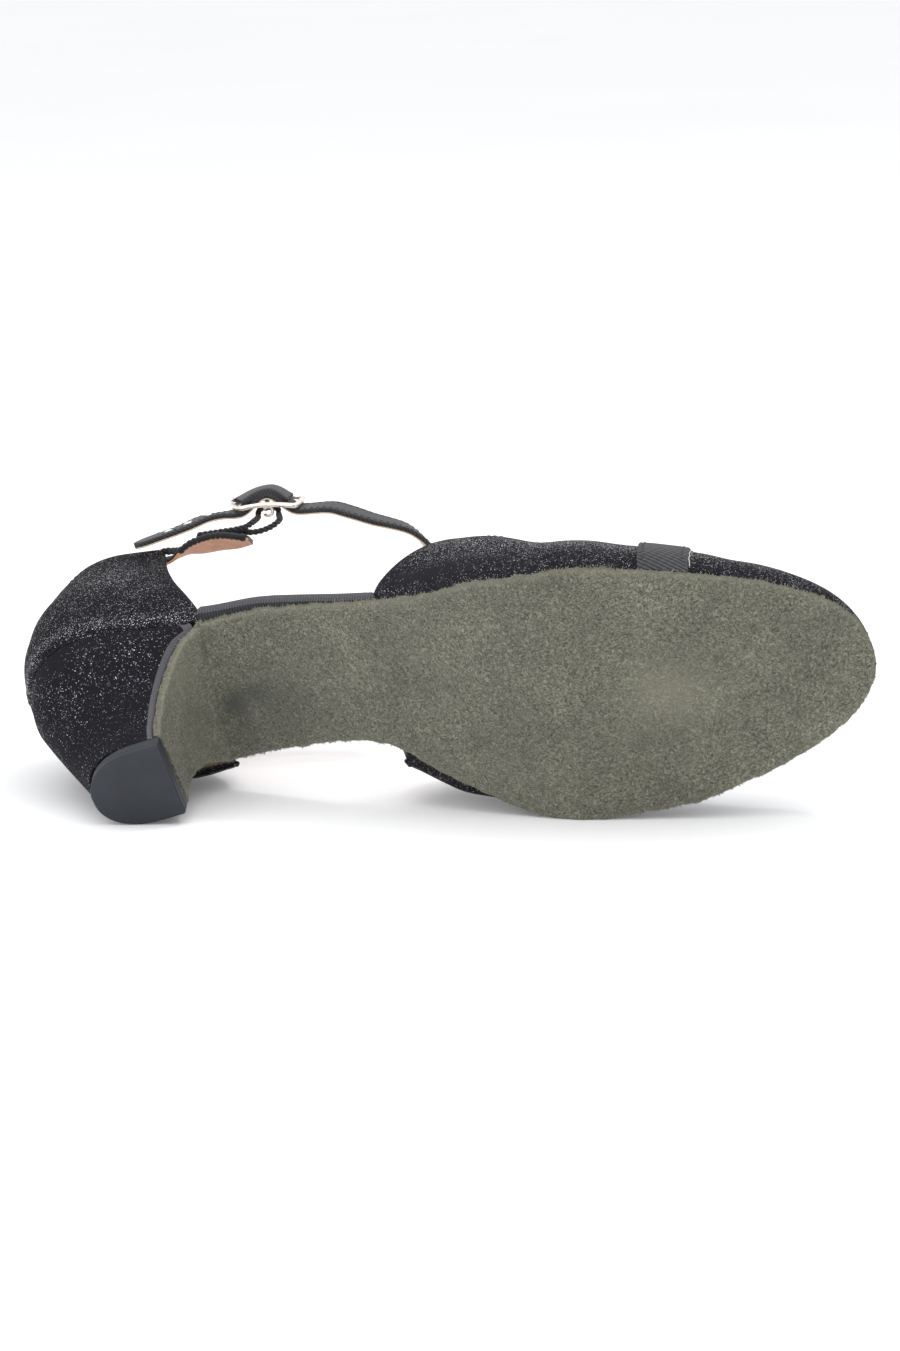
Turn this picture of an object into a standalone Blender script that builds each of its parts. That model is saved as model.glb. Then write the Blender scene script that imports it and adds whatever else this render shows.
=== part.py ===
"""Right ballroom dance shoe with a covered block heel, an open waist and an ankle strap.

The shoe is modelled standing: toe towards +X, inner side of the foot towards +Y, ground at Z = 0.
At the end it is laid on its inner side, on the three points that would carry it, sole facing -Y.
Tables hold shares of the named sizes. All sizes are in metres.
"""
import math

import bmesh
import bpy
import numpy as np
from mathutils import Matrix, Vector

# Driving sizes
SHOE_LENGTH = 0.240
BALL_WIDTH = 0.074
HEEL_HEIGHT = 0.051
TOE_SPRING = 0.009
INSTEP_HEIGHT = 0.061
COUNTER_HEIGHT = 0.048
GAP = 0.0003

# Walls and layers
UPPER_WALL = 0.0016
SOLE_THICKNESS = 0.0020
INSOLE_THICKNESS = 0.0050
WAIST_PROUD = 0.0004
WAIST_PROUD_REAR = 0.0024
FEATHER_TUCK = 0.0018
FEATHER_RISE = 0.010
UPPER_SWELL = 0.0010
SWELL_RISE = 0.003
BARE_EASE = 0.0016
BARE_CORNER = 0.0004

# Heel and top piece
TOP_PIECE_THICKNESS = 0.0054
TOP_PIECE_LENGTH = 0.0231
TOP_PIECE_WIDTH = 0.0221
TOP_PIECE_FRONT = 0.0483
HEEL_SHIFT = 0.0031
HEEL_TURN = math.radians(-7.6)
BREAST_BEND = 0.0022
CORNER_EASE = 0.0012
BREAST_GAP = 0.0005
HEEL_STRAIGHT = 0.30
HEEL_ROUND = 0.9
HEEL_CORNER = 0.0006
SEAT_CORNER_SHARE = 0.97

# Strap, tab, band, buckle and cord
STRAP_WIDTH = 0.0094
STRAP_THICKNESS = 0.0017
BAND_WIDTH = 0.013
BAND_THICKNESS = 0.0007
BAND_PLACE = 0.1835
TAB_WIDTH = 0.0100
TAB_THICKNESS = 0.0014
BUCKLE_LENGTH = 0.0205
BUCKLE_BAR = 0.0015
BUCKLE_SIDE_CLEARANCE = 0.0006
HOOK_RADIUS = 0.00135
HOOK_WIRE = 0.0009
HOOK_SPREAD = 1.2
WEAVE_REACH = 0.85
WEAVE_FADE = 1.2
WEAVE_STEP = 0.0015
TIP_SHARES = (0.3, 0.6, 0.85, 1.0)
CORD_DIAMETER = 0.0018

# Height of the sole's under side: share of length, share of heel height. The first stretch is the heel seat
PROFILE = (
    (0.000, 1.000), (0.215, 0.852), (0.25, 0.818), (0.30, 0.742), (0.36, 0.612), (0.45, 0.397),
    (0.56, 0.150), (0.66, 0.000), (0.80, 0.000),
)
# Rise of the toe: share of length, share of toe spring
SPRING = ((0.80, 0.0), (0.86, 0.12), (0.93, 0.46), (1.00, 1.0))

# Outline of the last: share of length, outer half width and inner half width as shares of ball width
OUTLINE = (
    (0.00, 0.288, 0.312), (0.10, 0.290, 0.318), (0.17, 0.292, 0.318), (0.23, 0.292, 0.290),
    (0.32, 0.343, 0.229), (0.42, 0.385, 0.178), (0.52, 0.440, 0.329), (0.60, 0.505, 0.445),
    (0.68, 0.522, 0.479), (0.76, 0.473, 0.478), (0.84, 0.430, 0.440), (0.92, 0.410, 0.411),
    (1.00, 0.409, 0.389),
)
TOE_START = 0.76
TOE_POWER = 2.12
TOE_INWARD = 0.0044
NOSE_START = 0.90
NOSE_POWER = 2.4
HEEL_END = 0.0125
HEEL_START = 0.125
HEEL_POWER = 2.2

# Vamp: share of length, crown height over the feather line as a share of instep height,
# place of the ridge as a share of ball width, fullness of the arch
CROWN = (
    (0.44, 1.22, 0.02, 2.5), (0.53, 1.06, 0.03, 2.65), (0.59, 0.945, 0.04, 2.7),
    (0.66, 0.775, 0.05, 2.6), (0.71, 0.690, 0.05, 2.5), (0.77, 0.610, 0.04, 2.5),
    (0.82, 0.545, 0.03, 2.5), (0.88, 0.465, 0.03, 2.4), (0.94, 0.385, 0.04, 2.3),
    (1.00, 0.300, 0.05, 2.2),
)
# Swell of the vamp's inner side over the narrow waist: share of length, share of ball width
WAIST_SWELL = ((0.44, 0.150), (0.50, 0.130), (0.56, 0.055), (0.62, 0.000))
# Rear edge of the vamp: share of the way up the arch, share of length on the outer and inner side
TOPLINE = (
    (0.00, 0.456, 0.448), (0.12, 0.478, 0.458), (0.28, 0.510, 0.484), (0.46, 0.546, 0.524),
    (0.66, 0.575, 0.564), (0.85, 0.592, 0.588), (1.00, 0.596, 0.596),
)

# Counter: share of counter height, back line, swell of the outer and of the inner side in shares
# of ball width, front edge as a share of length on the outer and inner side
COUNTER = (
    (0.00, 0.000, 0.000, 0.040, 0.242, 0.240), (0.12, -0.030, 0.030, 0.080, 0.230, 0.232),
    (0.28, -0.050, 0.052, 0.092, 0.212, 0.221), (0.45, -0.048, 0.056, 0.088, 0.196, 0.205),
    (0.65, -0.026, 0.044, 0.070, 0.184, 0.192), (0.85, 0.008, 0.028, 0.040, 0.176, 0.185),
    (1.00, 0.036, 0.014, 0.012, 0.171, 0.180), (1.08, 0.050, 0.002, 0.000, 0.168, 0.178),
)
# Height of the counter's top edge: share of the way from back to front, share of counter height
COUNTER_TOP = ((0.0, 1.03), (0.25, 1.03), (0.5, 1.01), (0.8, 1.03), (1.0, 1.045))

# Heel block: share of heel height, back and front as shares of length, half width as a share of
# ball width, share of the heel's shift and turn
HEEL = (
    (0.112, 0.1010, 0.1920, 0.147, 1.00), (0.24, 0.0880, 0.1890, 0.152, 0.90),
    (0.40, 0.0700, 0.1895, 0.166, 0.70), (0.58, 0.0490, 0.1950, 0.196, 0.40),
    (0.72, 0.0325, 0.2050, 0.236, 0.12), (0.79, 0.0250, 0.2150, 0.262, 0.02),
    (0.835, 0.0205, 0.2300, 0.278, 0.00),
)

# Ankle strap: share of length, share of ball width, height over the heel height as a share of
# counter height, lean of the strap's face from upright in degrees
STRAP = (
    (0.105, 0.380, 0.880, 18), (0.150, 0.382, 0.885, 18), (0.200, 0.380, 0.925, 17),
    (0.270, 0.370, 1.01, 17), (0.350, 0.330, 1.09, 20), (0.420, 0.248, 1.15, 24), (0.463, 0.130, 1.19, 27),
    (0.480, -0.010, 1.19, 26), (0.463, -0.150, 1.145, 18), (0.420, -0.236, 1.120, 11),
    (0.375, -0.300, 1.165, 10), (0.330, -0.340, 1.205, 13), (0.290, -0.360, 1.205, 16),
    (0.250, -0.372, 1.140, 17), (0.222, -0.368, 1.060, 17), (0.195, -0.362, 0.985, 17),
    (0.165, -0.355, 0.940, 16), (0.140, -0.348, 0.905, 16),
)
BUCKLE_AT = 0.298

# Tab on the outer side: share of length, share of ball width, height share, lean in degrees,
# share of tab width
TAB = (
    (0.130, -0.259, 0.890, 13, 0.78), (0.168, -0.265, 0.900, 14, 0.78), (0.184, -0.272, 0.903, 18, 0.82),
    (0.198, -0.291, 0.905, 30, 0.92), (0.214, -0.302, 0.903, 42, 1.05), (0.240, -0.311, 0.895, 47, 1.05),
    (0.262, -0.306, 0.880, 47, 0.85), (0.280, -0.304, 0.865, 44, 0.45),
)

# Cord loop, up from the tab's end and back down: shares of length, ball width and counter height
CORD_UP = (
    (0.2180, -0.353, 0.895), (0.2350, -0.353, 0.892), (0.2500, -0.353, 0.889), (0.2640, -0.350, 0.895),
    (0.2760, -0.346, 0.925), (0.2835, -0.344, 0.985),
)
CORD_DOWN = (
    (0.3135, -0.324, 1.015), (0.3040, -0.318, 0.960), (0.2890, -0.318, 0.925), (0.2700, -0.322, 0.930),
    (0.2520, -0.322, 0.942), (0.2380, -0.322, 0.946),
)
# The loop's bight through the hook: along the strap, across it and outwards, in hook radii
CORD_BIGHT = (
    (2.35, 0.00, -0.90), (2.00, -0.90, 0.30), (0.80, -1.65, 0.50), (-0.80, -1.65, 0.50),
    (-2.00, -0.90, 0.30), (-2.35, 0.00, -0.90),
)

COLOURS = {
    "suede": ((0.165, 0.170, 0.115), 0.95, 0.0),
    "glitter": ((0.012, 0.012, 0.015), 0.55, 0.0),
    "woven": ((0.016, 0.016, 0.022), 0.75, 0.0),
    "rubber": ((0.045, 0.050, 0.058), 0.60, 0.0),
    "metal": ((0.75, 0.70, 0.60), 0.25, 1.0),
    "cord": ((0.010, 0.010, 0.012), 0.80, 0.0),
    "lining": ((0.640, 0.400, 0.280), 0.70, 0.0),
}


def smooth(table, at, column=1):
    """Value of a table's column at a place, on a curve that never overshoots its rows."""
    xs = np.array([row[0] for row in table])
    ys = np.array([row[column] for row in table], dtype=float)
    step = np.diff(xs)
    slope = np.diff(ys) / step
    tangent = np.zeros(len(xs))
    tangent[0], tangent[-1] = slope[0], slope[-1]
    for i in range(1, len(xs) - 1):
        if slope[i - 1] * slope[i] > 0:
            w1 = 2 * step[i] + step[i - 1]
            w2 = step[i] + 2 * step[i - 1]
            tangent[i] = (w1 + w2) / (w1 / slope[i - 1] + w2 / slope[i])
    at = min(max(at, xs[0]), xs[-1])
    k = min(int(np.searchsorted(xs, at, side="right")) - 1, len(xs) - 2)
    t = (at - xs[k]) / step[k]
    return float((1 + 2 * t) * (1 - t) ** 2 * ys[k] + t * (1 - t) ** 2 * step[k] * tangent[k]
                 + t * t * (3 - 2 * t) * ys[k + 1] + t * t * (t - 1) * step[k] * tangent[k + 1])


def taper(t, power):
    """Rounded end: 1 at t = 0, 0 at t = 1."""
    return max(0.0, 1.0 - min(max(t, 0.0), 1.0) ** power) ** (1.0 / power)


def tread(x):
    """Height of the sole's under side over the ground."""
    s = x / SHOE_LENGTH
    if s < PROFILE[1][0]:
        first, last = PROFILE[:2]
        share = first[1] + (last[1] - first[1]) * s / last[0]
        return share * HEEL_HEIGHT
    if s > SPRING[0][0]:
        return smooth(SPRING, s) * TOE_SPRING
    return smooth(PROFILE[1:], s) * HEEL_HEIGHT


def seat(x):
    """Height of the sole's upper side, on which upper and insole sit."""
    return tread(x) + SOLE_THICKNESS


def centre_line(x):
    """The toe turns inwards."""
    t = max(0.0, x / SHOE_LENGTH - TOE_START) / (1.0 - TOE_START)
    return TOE_INWARD * t * t


def half_widths(x, inset=0.0, swell=0.0):
    """Outer and inner edge of the last at a place along the shoe, moved in by inset."""
    s = x / SHOE_LENGTH
    end = inset / SHOE_LENGTH
    toe = taper((s - TOE_START) / (1.0 - end - TOE_START), TOE_POWER)
    heel = taper((HEEL_START - s) / (HEEL_START - HEEL_END - end), HEEL_POWER)
    outer = (smooth(OUTLINE, s, 1) * BALL_WIDTH - inset + swell) * toe * heel
    inner = (smooth(OUTLINE, s, 2) * BALL_WIDTH - inset + swell) * toe * heel
    return centre_line(x) - outer, centre_line(x) + inner


def material(kind):
    """Principled material of one kind."""
    colour, roughness, metallic = COLOURS[kind]
    made = bpy.data.materials.new(kind)
    made.use_nodes = True
    shader = made.node_tree.nodes["Principled BSDF"]
    shader.inputs["Base Color"].default_value = (*colour, 1.0)
    shader.inputs["Roughness"].default_value = roughness
    shader.inputs["Metallic"].default_value = metallic
    made.diffuse_color = (*colour, 1.0)
    return made


def add_object(name, bm, kind, sharp=40.0):
    """Closes, turns outwards and shades a piece."""
    bmesh.ops.remove_doubles(bm, verts=bm.verts, dist=0.000002)
    bmesh.ops.dissolve_degenerate(bm, edges=bm.edges, dist=0.000002)
    bmesh.ops.triangulate(bm, faces=[f for f in bm.faces if len(f.verts) > 3])
    bmesh.ops.recalc_face_normals(bm, faces=bm.faces)
    if bm.calc_volume(signed=True) < 0:
        bmesh.ops.reverse_faces(bm, faces=bm.faces)
    mesh = bpy.data.meshes.new(name)
    bm.to_mesh(mesh)
    bm.free()
    mesh.shade_smooth()
    mesh.set_sharp_from_angle(angle=math.radians(sharp))
    mesh.materials.append(material(kind))
    obj = bpy.data.objects.new(name, mesh)
    bpy.context.scene.collection.objects.link(obj)
    return obj


def skin(name, rings, kind, sharp=40.0):
    """Solid through closed rings of points, with a cap on the first and last ring."""
    bm = bmesh.new()
    rows = [[bm.verts.new(point) for point in ring] for ring in rings]
    count = len(rows[0])
    for low, high in zip(rows, rows[1:]):
        for i in range(count):
            j = (i + 1) % count
            bm.faces.new((low[i], low[j], high[j], high[i]))
    bm.faces.new(rows[0][::-1])
    bm.faces.new(rows[-1])
    return add_object(name, bm, kind, sharp)


def shell(name, outer, inner, kind, sharp=40.0):
    """Wall between two grids of points with the same rows, closed at its rims."""
    bm = bmesh.new()
    rows = [[bm.verts.new(p) for p in list(a) + list(b)[::-1]] for a, b in zip(outer, inner)]
    count = len(rows[0])
    half = count // 2
    for low, high in zip(rows, rows[1:]):
        for i in range(count):
            j = (i + 1) % count
            bm.faces.new((low[i], low[j], high[j], high[i]))
    for row in (rows[0], rows[-1]):
        for i in range(half - 1):
            bm.faces.new((row[i], row[i + 1], row[count - 2 - i], row[count - 1 - i]))
    return add_object(name, bm, kind, sharp)


def spread(start, end, count):
    """Even steps from start to end."""
    return [start + (end - start) * i / count for i in range(count + 1)]


def flat_ring(low, high, across, under, over):
    """Ring across a layer: along its upper face and back along its under face."""
    ys = spread(low, high, across)
    return [(y, over) for y in ys] + [(y, under) for y in reversed(ys)]


def breast(z):
    """Front of the heel block at a height."""
    return smooth([(row[0] * HEEL_HEIGHT, row[2]) for row in HEEL], z) * SHOE_LENGTH


def heel_side(z):
    """Half width, shift and turn of the heel block at a height."""
    rows = [(row[0] * HEEL_HEIGHT, row[3], row[4]) for row in HEEL]
    half = smooth(rows, z, 1) * BALL_WIDTH
    share = smooth(rows, z, 2)
    return half, HEEL_SHIFT * share, HEEL_TURN * share


def turned(x, y, z, share_turn):
    """Point turned about the upright line through the top piece's front."""
    dx, dy = x - TOP_PIECE_FRONT, y - HEEL_SHIFT
    c, s = math.cos(share_turn), math.sin(share_turn)
    return TOP_PIECE_FRONT + c * dx - s * dy, HEEL_SHIFT + s * dx + c * dy, z


def heel_levels():
    """Heights of the heel block's sections."""
    return spread(TOP_PIECE_THICKNESS + GAP, HEEL[-1][0] * HEEL_HEIGHT, 14)


def sole_path():
    """Rows from toe to heel tip: place, height and direction of the sole's glued face."""
    top = HEEL[-1][0] * HEEL_HEIGHT
    corner_x = breast(top) + BREAST_GAP
    start_x = corner_x + BREAST_BEND
    toe = SHOE_LENGTH * (1 - TOE_START)
    xs = [SHOE_LENGTH * TOE_START + toe * math.sin(math.pi / 2 * t) for t in spread(1.0, 0.0, 12)]
    xs += spread(SHOE_LENGTH * TOE_START, SHOE_LENGTH * 0.66, 5)[1:]
    xs += spread(SHOE_LENGTH * 0.66, start_x, 20)[1:]
    points = [(x, seat(x)) for x in xs]
    end_z = seat(corner_x) - BREAST_BEND
    for t in spread(0.0, 1.0, 6)[1:]:
        a, b, c = (1 - t) ** 2, 2 * t * (1 - t), t * t
        points.append((a * start_x + b * corner_x + c * (breast(end_z) + BREAST_GAP),
                       a * seat(start_x) + b * seat(corner_x) + c * end_z))
    low = TOP_PIECE_THICKNESS + GAP * 2
    for z in [level for level in reversed(heel_levels()[1:]) if level < end_z - GAP] + [low]:
        points.append((breast(z) + BREAST_GAP, z))
    return points, len(xs)


def outsole():
    """Suede sole from the toe to the breast and on down the front of the heel."""
    points, main = sole_path()
    rings = []
    corner = points[main - 1]
    for i, (x, z) in enumerate(points):
        before = points[max(i - 1, 0)]
        after = points[min(i + 1, len(points) - 1)]
        run = Vector((after[0] - before[0], after[1] - before[1])).normalized()
        under = Vector((-run.y, run.x))
        if i < main:
            low, high = half_widths(x)
            turn = 0.0
        else:
            half, shift, turn = heel_side(min(z, HEEL[-1][0] * HEEL_HEIGHT))
            low, high = shift - half, shift + half
            mix = min(1.0, (i - main + 1) / 7.0)
            wide = half_widths(corner[0])
            low = wide[0] + (low - wide[0]) * mix
            high = wide[1] + (high - wide[1]) * mix
        ring = []
        for y, over in flat_ring(low, high, 6, 0, 1):
            px = x if over else x + under.x * SOLE_THICKNESS
            pz = z if over else z + under.y * SOLE_THICKNESS
            ring.append(turned(px, y, pz, turn))
        rings.append(ring)
    return skin("outsole", rings, "suede")


def insole():
    """Insole: inside the walls at heel and toe, bare edge at the waist."""
    rear = COUNTER[0][4] * SHOE_LENGTH
    front = min(TOPLINE[0][1:]) * SHOE_LENGTH
    inside = UPPER_WALL + FEATHER_TUCK + GAP * 2
    ease = BARE_EASE
    heel = SHOE_LENGTH * HEEL_END + inside
    wide = HEEL_START * SHOE_LENGTH
    xs = [heel + (wide - heel) * (1 - math.cos(math.pi / 2 * t)) for t in spread(0, 1, 8)]
    seat_end = PROFILE[1][0] * SHOE_LENGTH
    xs += spread(wide, seat_end, 3)[1:]
    xs += spread(seat_end, rear, 3)[1:]
    xs += spread(rear, rear + ease, 3)[1:]
    xs += spread(rear + ease, front - ease, 10)[1:]
    xs += spread(front - ease, front, 3)[1:]
    xs += spread(front, SHOE_LENGTH * TOE_START, 14)[1:]
    nose = SHOE_LENGTH - inside
    xs += [SHOE_LENGTH * TOE_START + (nose - SHOE_LENGTH * TOE_START) * math.sin(math.pi / 2 * t)
           for t in spread(0, 1, 10)][1:]
    rings = []
    for x in xs:
        bare = (min(x - rear, front - x) - BARE_CORNER) / (ease - BARE_CORNER)
        bare = min(max(bare, 0.0), 1.0)
        bare = bare * bare * (3 - 2 * bare)
        low, high = half_widths(x, inside * (1 - bare))
        low -= bare * (WAIST_PROUD + (WAIST_PROUD_REAR - WAIST_PROUD) * (front - x) / (front - rear))
        high += bare * WAIST_PROUD
        floor = seat(x) + GAP
        rings.append([(x, y, z) for y, z in flat_ring(low, high, 6, floor, floor + INSOLE_THICKNESS)])
    return skin("insole", rings, "woven")


def vamp_point(x, share, side, inset=0.0):
    """Point of the vamp's arch: share 0 at the feather line, 1 at the ridge."""
    s = x / SHOE_LENGTH
    low, high = half_widths(x, inset, UPPER_SWELL)
    toe_end = (s - NOSE_START) / (1.0 - inset / SHOE_LENGTH - NOSE_START)
    height = (smooth(CROWN, s, 1) * INSTEP_HEIGHT - inset) * taper(toe_end, NOSE_POWER)
    width = high - low
    ridge = centre_line(x) + smooth(CROWN, s, 2) * BALL_WIDTH * min(1.0, width / (0.5 * BALL_WIDTH))
    full = smooth(CROWN, s, 3)
    angle = share * math.pi / 2
    rise = math.sin(angle) ** (2.0 / full) * height
    reach = math.cos(angle) ** (2.0 / full) if share < 1 else 0.0
    edge = low if side < 0 else high
    tuck = FEATHER_TUCK * max(0.0, 1 - rise / FEATHER_RISE) ** 2
    tuck = min(tuck, 0.3 * abs(edge - ridge))
    swell = smooth(WAIST_SWELL, s) * BALL_WIDTH * (1 - math.exp(-rise / SWELL_RISE)) if side > 0 else 0.0
    y = ridge + (edge - ridge + swell) * reach - side * tuck
    return (x, y, seat(x) + GAP + rise)


def vamp_rows(start, end, inset, steps, ease=True):
    """Grid of the vamp from one edge to another, row by row along the shoe."""
    arcs = [(-1, t) for t in spread(0, 1, 12)] + [(1, t) for t in spread(1, 0, 12)[1:]]
    rows = []
    for i in range(steps + 1):
        t = i / steps
        if ease:
            t = math.sin(math.pi / 2 * t)
        row = []
        for side, share in arcs:
            column = 1 if side < 0 else 2
            first = start(share, column)
            last = end(share, column)
            row.append(vamp_point(first + (last - first) * t, share, side, inset))
        rows.append(row)
    return rows


def topline(share, column):
    """Rear edge of the vamp."""
    return smooth(TOPLINE, share, column) * SHOE_LENGTH


def vamp():
    """Closed-toe vamp, open underneath and at the rear."""
    outer = vamp_rows(topline, lambda share, column: SHOE_LENGTH, 0.0, 30)
    inner = vamp_rows(topline, lambda share, column: SHOE_LENGTH - UPPER_WALL, UPPER_WALL, 30)
    return shell("vamp", outer, inner, "glitter")


def toe_band():
    """Woven band across the vamp, following its arch."""
    def rear(share, column):
        return BAND_PLACE

    def front(share, column):
        return BAND_PLACE + BAND_WIDTH

    outer = vamp_rows(rear, front, -(GAP + BAND_THICKNESS), 4, ease=False)
    inner = vamp_rows(rear, front, -GAP, 4, ease=False)
    return shell("toe_band", outer, inner, "woven")


def counter_point(along, share, side, inset=0.0):
    """Point of the heel cup: along 0 at the back line, 1 at the front edge; share is the height."""
    top = smooth(COUNTER_TOP, along)
    level = share * top
    back = HEEL_END * SHOE_LENGTH + smooth(COUNTER, level, 1) * BALL_WIDTH + inset
    front = smooth(COUNTER, level, 4 if side < 0 else 5) * SHOE_LENGTH
    x = back + (front - back) * (1 - math.cos(math.pi / 2 * along))
    swell = smooth(COUNTER, level, 2 if side < 0 else 3) * BALL_WIDTH
    s = x / SHOE_LENGTH
    wide = smooth(OUTLINE, max(s, 0.0), 1 if side < 0 else 2) * BALL_WIDTH + swell - inset
    centre_x = HEEL_START * SHOE_LENGTH
    round_end = taper((centre_x - x) / (centre_x - back), HEEL_POWER)
    z = seat(max(x, 0.0)) + GAP + level * COUNTER_HEIGHT
    return (x, side * wide * round_end, z)


def counter_rows(inset):
    """Grid of the heel cup from the outer front edge round the back to the inner front edge."""
    alongs = [(-1, t) for t in spread(1, 0, 22)] + [(1, t) for t in spread(0, 1, 22)[1:]]
    return [[counter_point(along, share, side, inset) for share in spread(0, 1, 10)]
            for side, along in alongs]


def counter():
    """Heel cup, open at the top and the front."""
    return shell("counter", counter_rows(0.0), counter_rows(UPPER_WALL), "glitter")


def heel_ring(z, back, front, half, shift, turn):
    """Section of the heel: straight front with small corners, rounded back."""
    centre = back + (front - back) * (1 - HEEL_STRAIGHT)
    side = []
    for t in spread(0, 1, 12):
        angle = math.pi / 2 * t
        x = centre - (centre - back) * math.cos(angle) ** HEEL_ROUND
        side.append((x, math.sin(angle) ** HEEL_ROUND * half))
    side.append((front - HEEL_CORNER, half))
    side.append((front, half - HEEL_CORNER))
    ring = side + [(x, -y) for x, y in reversed(side[1:])]
    points = []
    for x, y in ring:
        points.append(turned(x, y + shift, z, turn))
    return points


def heel_block():
    """Covered block heel, from the seat down to the top piece."""
    rings = []
    high = heel_levels()[-1]
    for z in heel_levels():
        rows = [(row[0] * HEEL_HEIGHT, row[1]) for row in HEEL]
        half, shift, turn = heel_side(z)
        rings.append(heel_ring(z, smooth(rows, z) * SHOE_LENGTH, breast(z), half, shift, turn))
    side = []
    front = breast(high)
    back = HEEL_END * SHOE_LENGTH
    centre = HEEL_START * SHOE_LENGTH
    for t in spread(0, 1, 12):
        x = back + (centre - back) * (1 - math.cos(math.pi / 2 * t))
        side.append((x, half_widths(x)))
    front -= CORNER_EASE
    side.append((front - HEEL_CORNER, half_widths(front)))
    side.append((front, tuple(v * SEAT_CORNER_SHARE for v in half_widths(front))))
    ring = [(x, w[1]) for x, w in side] + [(x, w[0]) for x, w in reversed(side[1:])]
    rings.append([(x, y, seat(x)) for x, y in ring])
    return skin("heel_block", rings, "glitter")


def top_piece():
    """Flat tread of the heel."""
    back = TOP_PIECE_FRONT - TOP_PIECE_LENGTH
    half = TOP_PIECE_WIDTH / 2
    edge = 0.0003
    rings = []
    for z, trim in ((0.0, edge), (edge, 0.0), (TOP_PIECE_THICKNESS, 0.0)):
        rings.append(heel_ring(z, back + trim, TOP_PIECE_FRONT - trim, half - trim, HEEL_SHIFT, HEEL_TURN))
    return skin("top_piece", rings, "rubber")


def strap_place(row):
    """A strap or tab row as a point."""
    return Vector((row[0] * SHOE_LENGTH, row[1] * BALL_WIDTH, HEEL_HEIGHT + row[2] * COUNTER_HEIGHT))


def rounded_path(points, extra, count):
    """Even points on a smooth curve through given points, with further columns carried along."""
    points = np.array([list(p) + list(e) for p, e in zip(points, extra)])
    gaps = np.linalg.norm(np.diff(points[:, :3], axis=0), axis=1)
    marks = np.concatenate([[0.0], np.cumsum(np.sqrt(gaps))])
    dense = []
    for i in range(len(points) - 1):
        before = points[max(i - 1, 0)]
        after = points[min(i + 2, len(points) - 1)]
        a, b = points[i], points[i + 1]
        span = marks[i + 1] - marks[i]
        ta = (b - before) / (marks[i + 1] - marks[max(i - 1, 0)]) * span
        tb = (after - a) / (marks[min(i + 2, len(points) - 1)] - marks[i]) * span
        for t in spread(0, 1, 24)[:-1]:
            dense.append((2 * t ** 3 - 3 * t ** 2 + 1) * a + (t ** 3 - 2 * t ** 2 + t) * ta
                         + (3 * t ** 2 - 2 * t ** 3) * b + (t ** 3 - t ** 2) * tb)
    dense.append(points[-1])
    dense = np.array(dense)
    run = np.concatenate([[0.0], np.cumsum(np.linalg.norm(np.diff(dense[:, :3], axis=0), axis=1))])
    places = np.linspace(0.0, run[-1], count)
    return np.stack([np.interp(places, run, dense[:, k]) for k in range(dense.shape[1])], 1), places


def weave(distance):
    """How far the strap stands off the buckle's plane: under the end bars, over the middle bar."""
    reach = (BUCKLE_BAR + STRAP_THICKNESS) / 2 + GAP * 1.5
    span = BUCKLE_LENGTH / 2 - BUCKLE_BAR / 2
    t = abs(distance) / span
    if t <= 1:
        return reach * math.cos(math.pi * t)
    fade = min(1.0, (t - 1) / WEAVE_FADE)
    return -reach * (1 - fade * fade * (3 - 2 * fade))


def strap_path():
    """Dense points, leans and distances along the strap, and the buckle's distance."""
    table, places = rounded_path([strap_place(row) for row in STRAP], [(row[3],) for row in STRAP], 900)
    behind = [k for k, row in enumerate(table) if row[1] < 0 and row[0] <= BUCKLE_AT * SHOE_LENGTH]
    return table, places, places[behind[0]]


def strap_frame(table, places, at, side=1):
    """Point with along, outward and across directions at a distance along a strap or tab."""
    def place(distance):
        return Vector([np.interp(distance, places, table[:, k]) for k in range(3)])

    step = WEAVE_STEP
    along = (place(at + step) - place(at - step)).normalized()
    lean = math.radians(np.interp(at, places, table[:, 3]))
    level = Vector((-along.y, along.x, 0.0)).normalized() * side
    outward = level * math.cos(lean) + Vector((0, 0, 1)) * math.sin(lean)
    outward = (outward - along * outward.dot(along)).normalized()
    return place(at), along, outward, outward.cross(along).normalized()


def ankle_strap():
    """Strap from the inner side of the counter round the ankle and through the buckle."""
    table, places, buckle = strap_path()
    near = BUCKLE_LENGTH * WEAVE_REACH
    last = places[-1]
    stops = spread(0.0, buckle - near, 52)
    stops += spread(buckle - near, buckle + near, 34)[1:]
    stops += spread(buckle + near, last - STRAP_WIDTH / 2, 8)[1:]
    tip = [last - STRAP_WIDTH / 2 * (1 - math.sin(math.pi / 2 * t)) for t in TIP_SHARES]
    rings = []
    for stop in stops + tip:
        point, along, outward, across = strap_frame(table, places, stop)
        lift = weave(stop - buckle)
        slope = (weave(stop - buckle + 0.0004) - weave(stop - buckle - 0.0004)) / 0.0008
        tilted = (outward - along * slope).normalized()
        reach = max(0.0, (stop - (last - STRAP_WIDTH / 2)) / (STRAP_WIDTH / 2))
        width = STRAP_WIDTH * max(taper(reach, 2.0), 0.3)
        rings.append(ribbon_ring(point + outward * lift, across, tilted, width, STRAP_THICKNESS))
    return skin("ankle_strap", rings, "woven")


def ribbon_ring(point, across, outward, width, thickness):
    """Section of a flat band with eased edges."""
    w, t, e = width / 2, thickness / 2, thickness * 0.25
    section = ((-w + e, -t), (-w, -t + e), (-w, t - e), (-w + e, t), (0, t),
               (w - e, t), (w, t - e), (w, -t + e), (w - e, -t), (0, -t))
    return [point + across * a + outward * b for a, b in section]


def buckle_point(x, y, z):
    """Point in the buckle's own frame: along the strap, across it and outwards, on the strap's curve."""
    table, places, buckle = strap_path()
    point, _, outward, across = strap_frame(table, places, buckle + x)
    return point + across * y + outward * z


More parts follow.
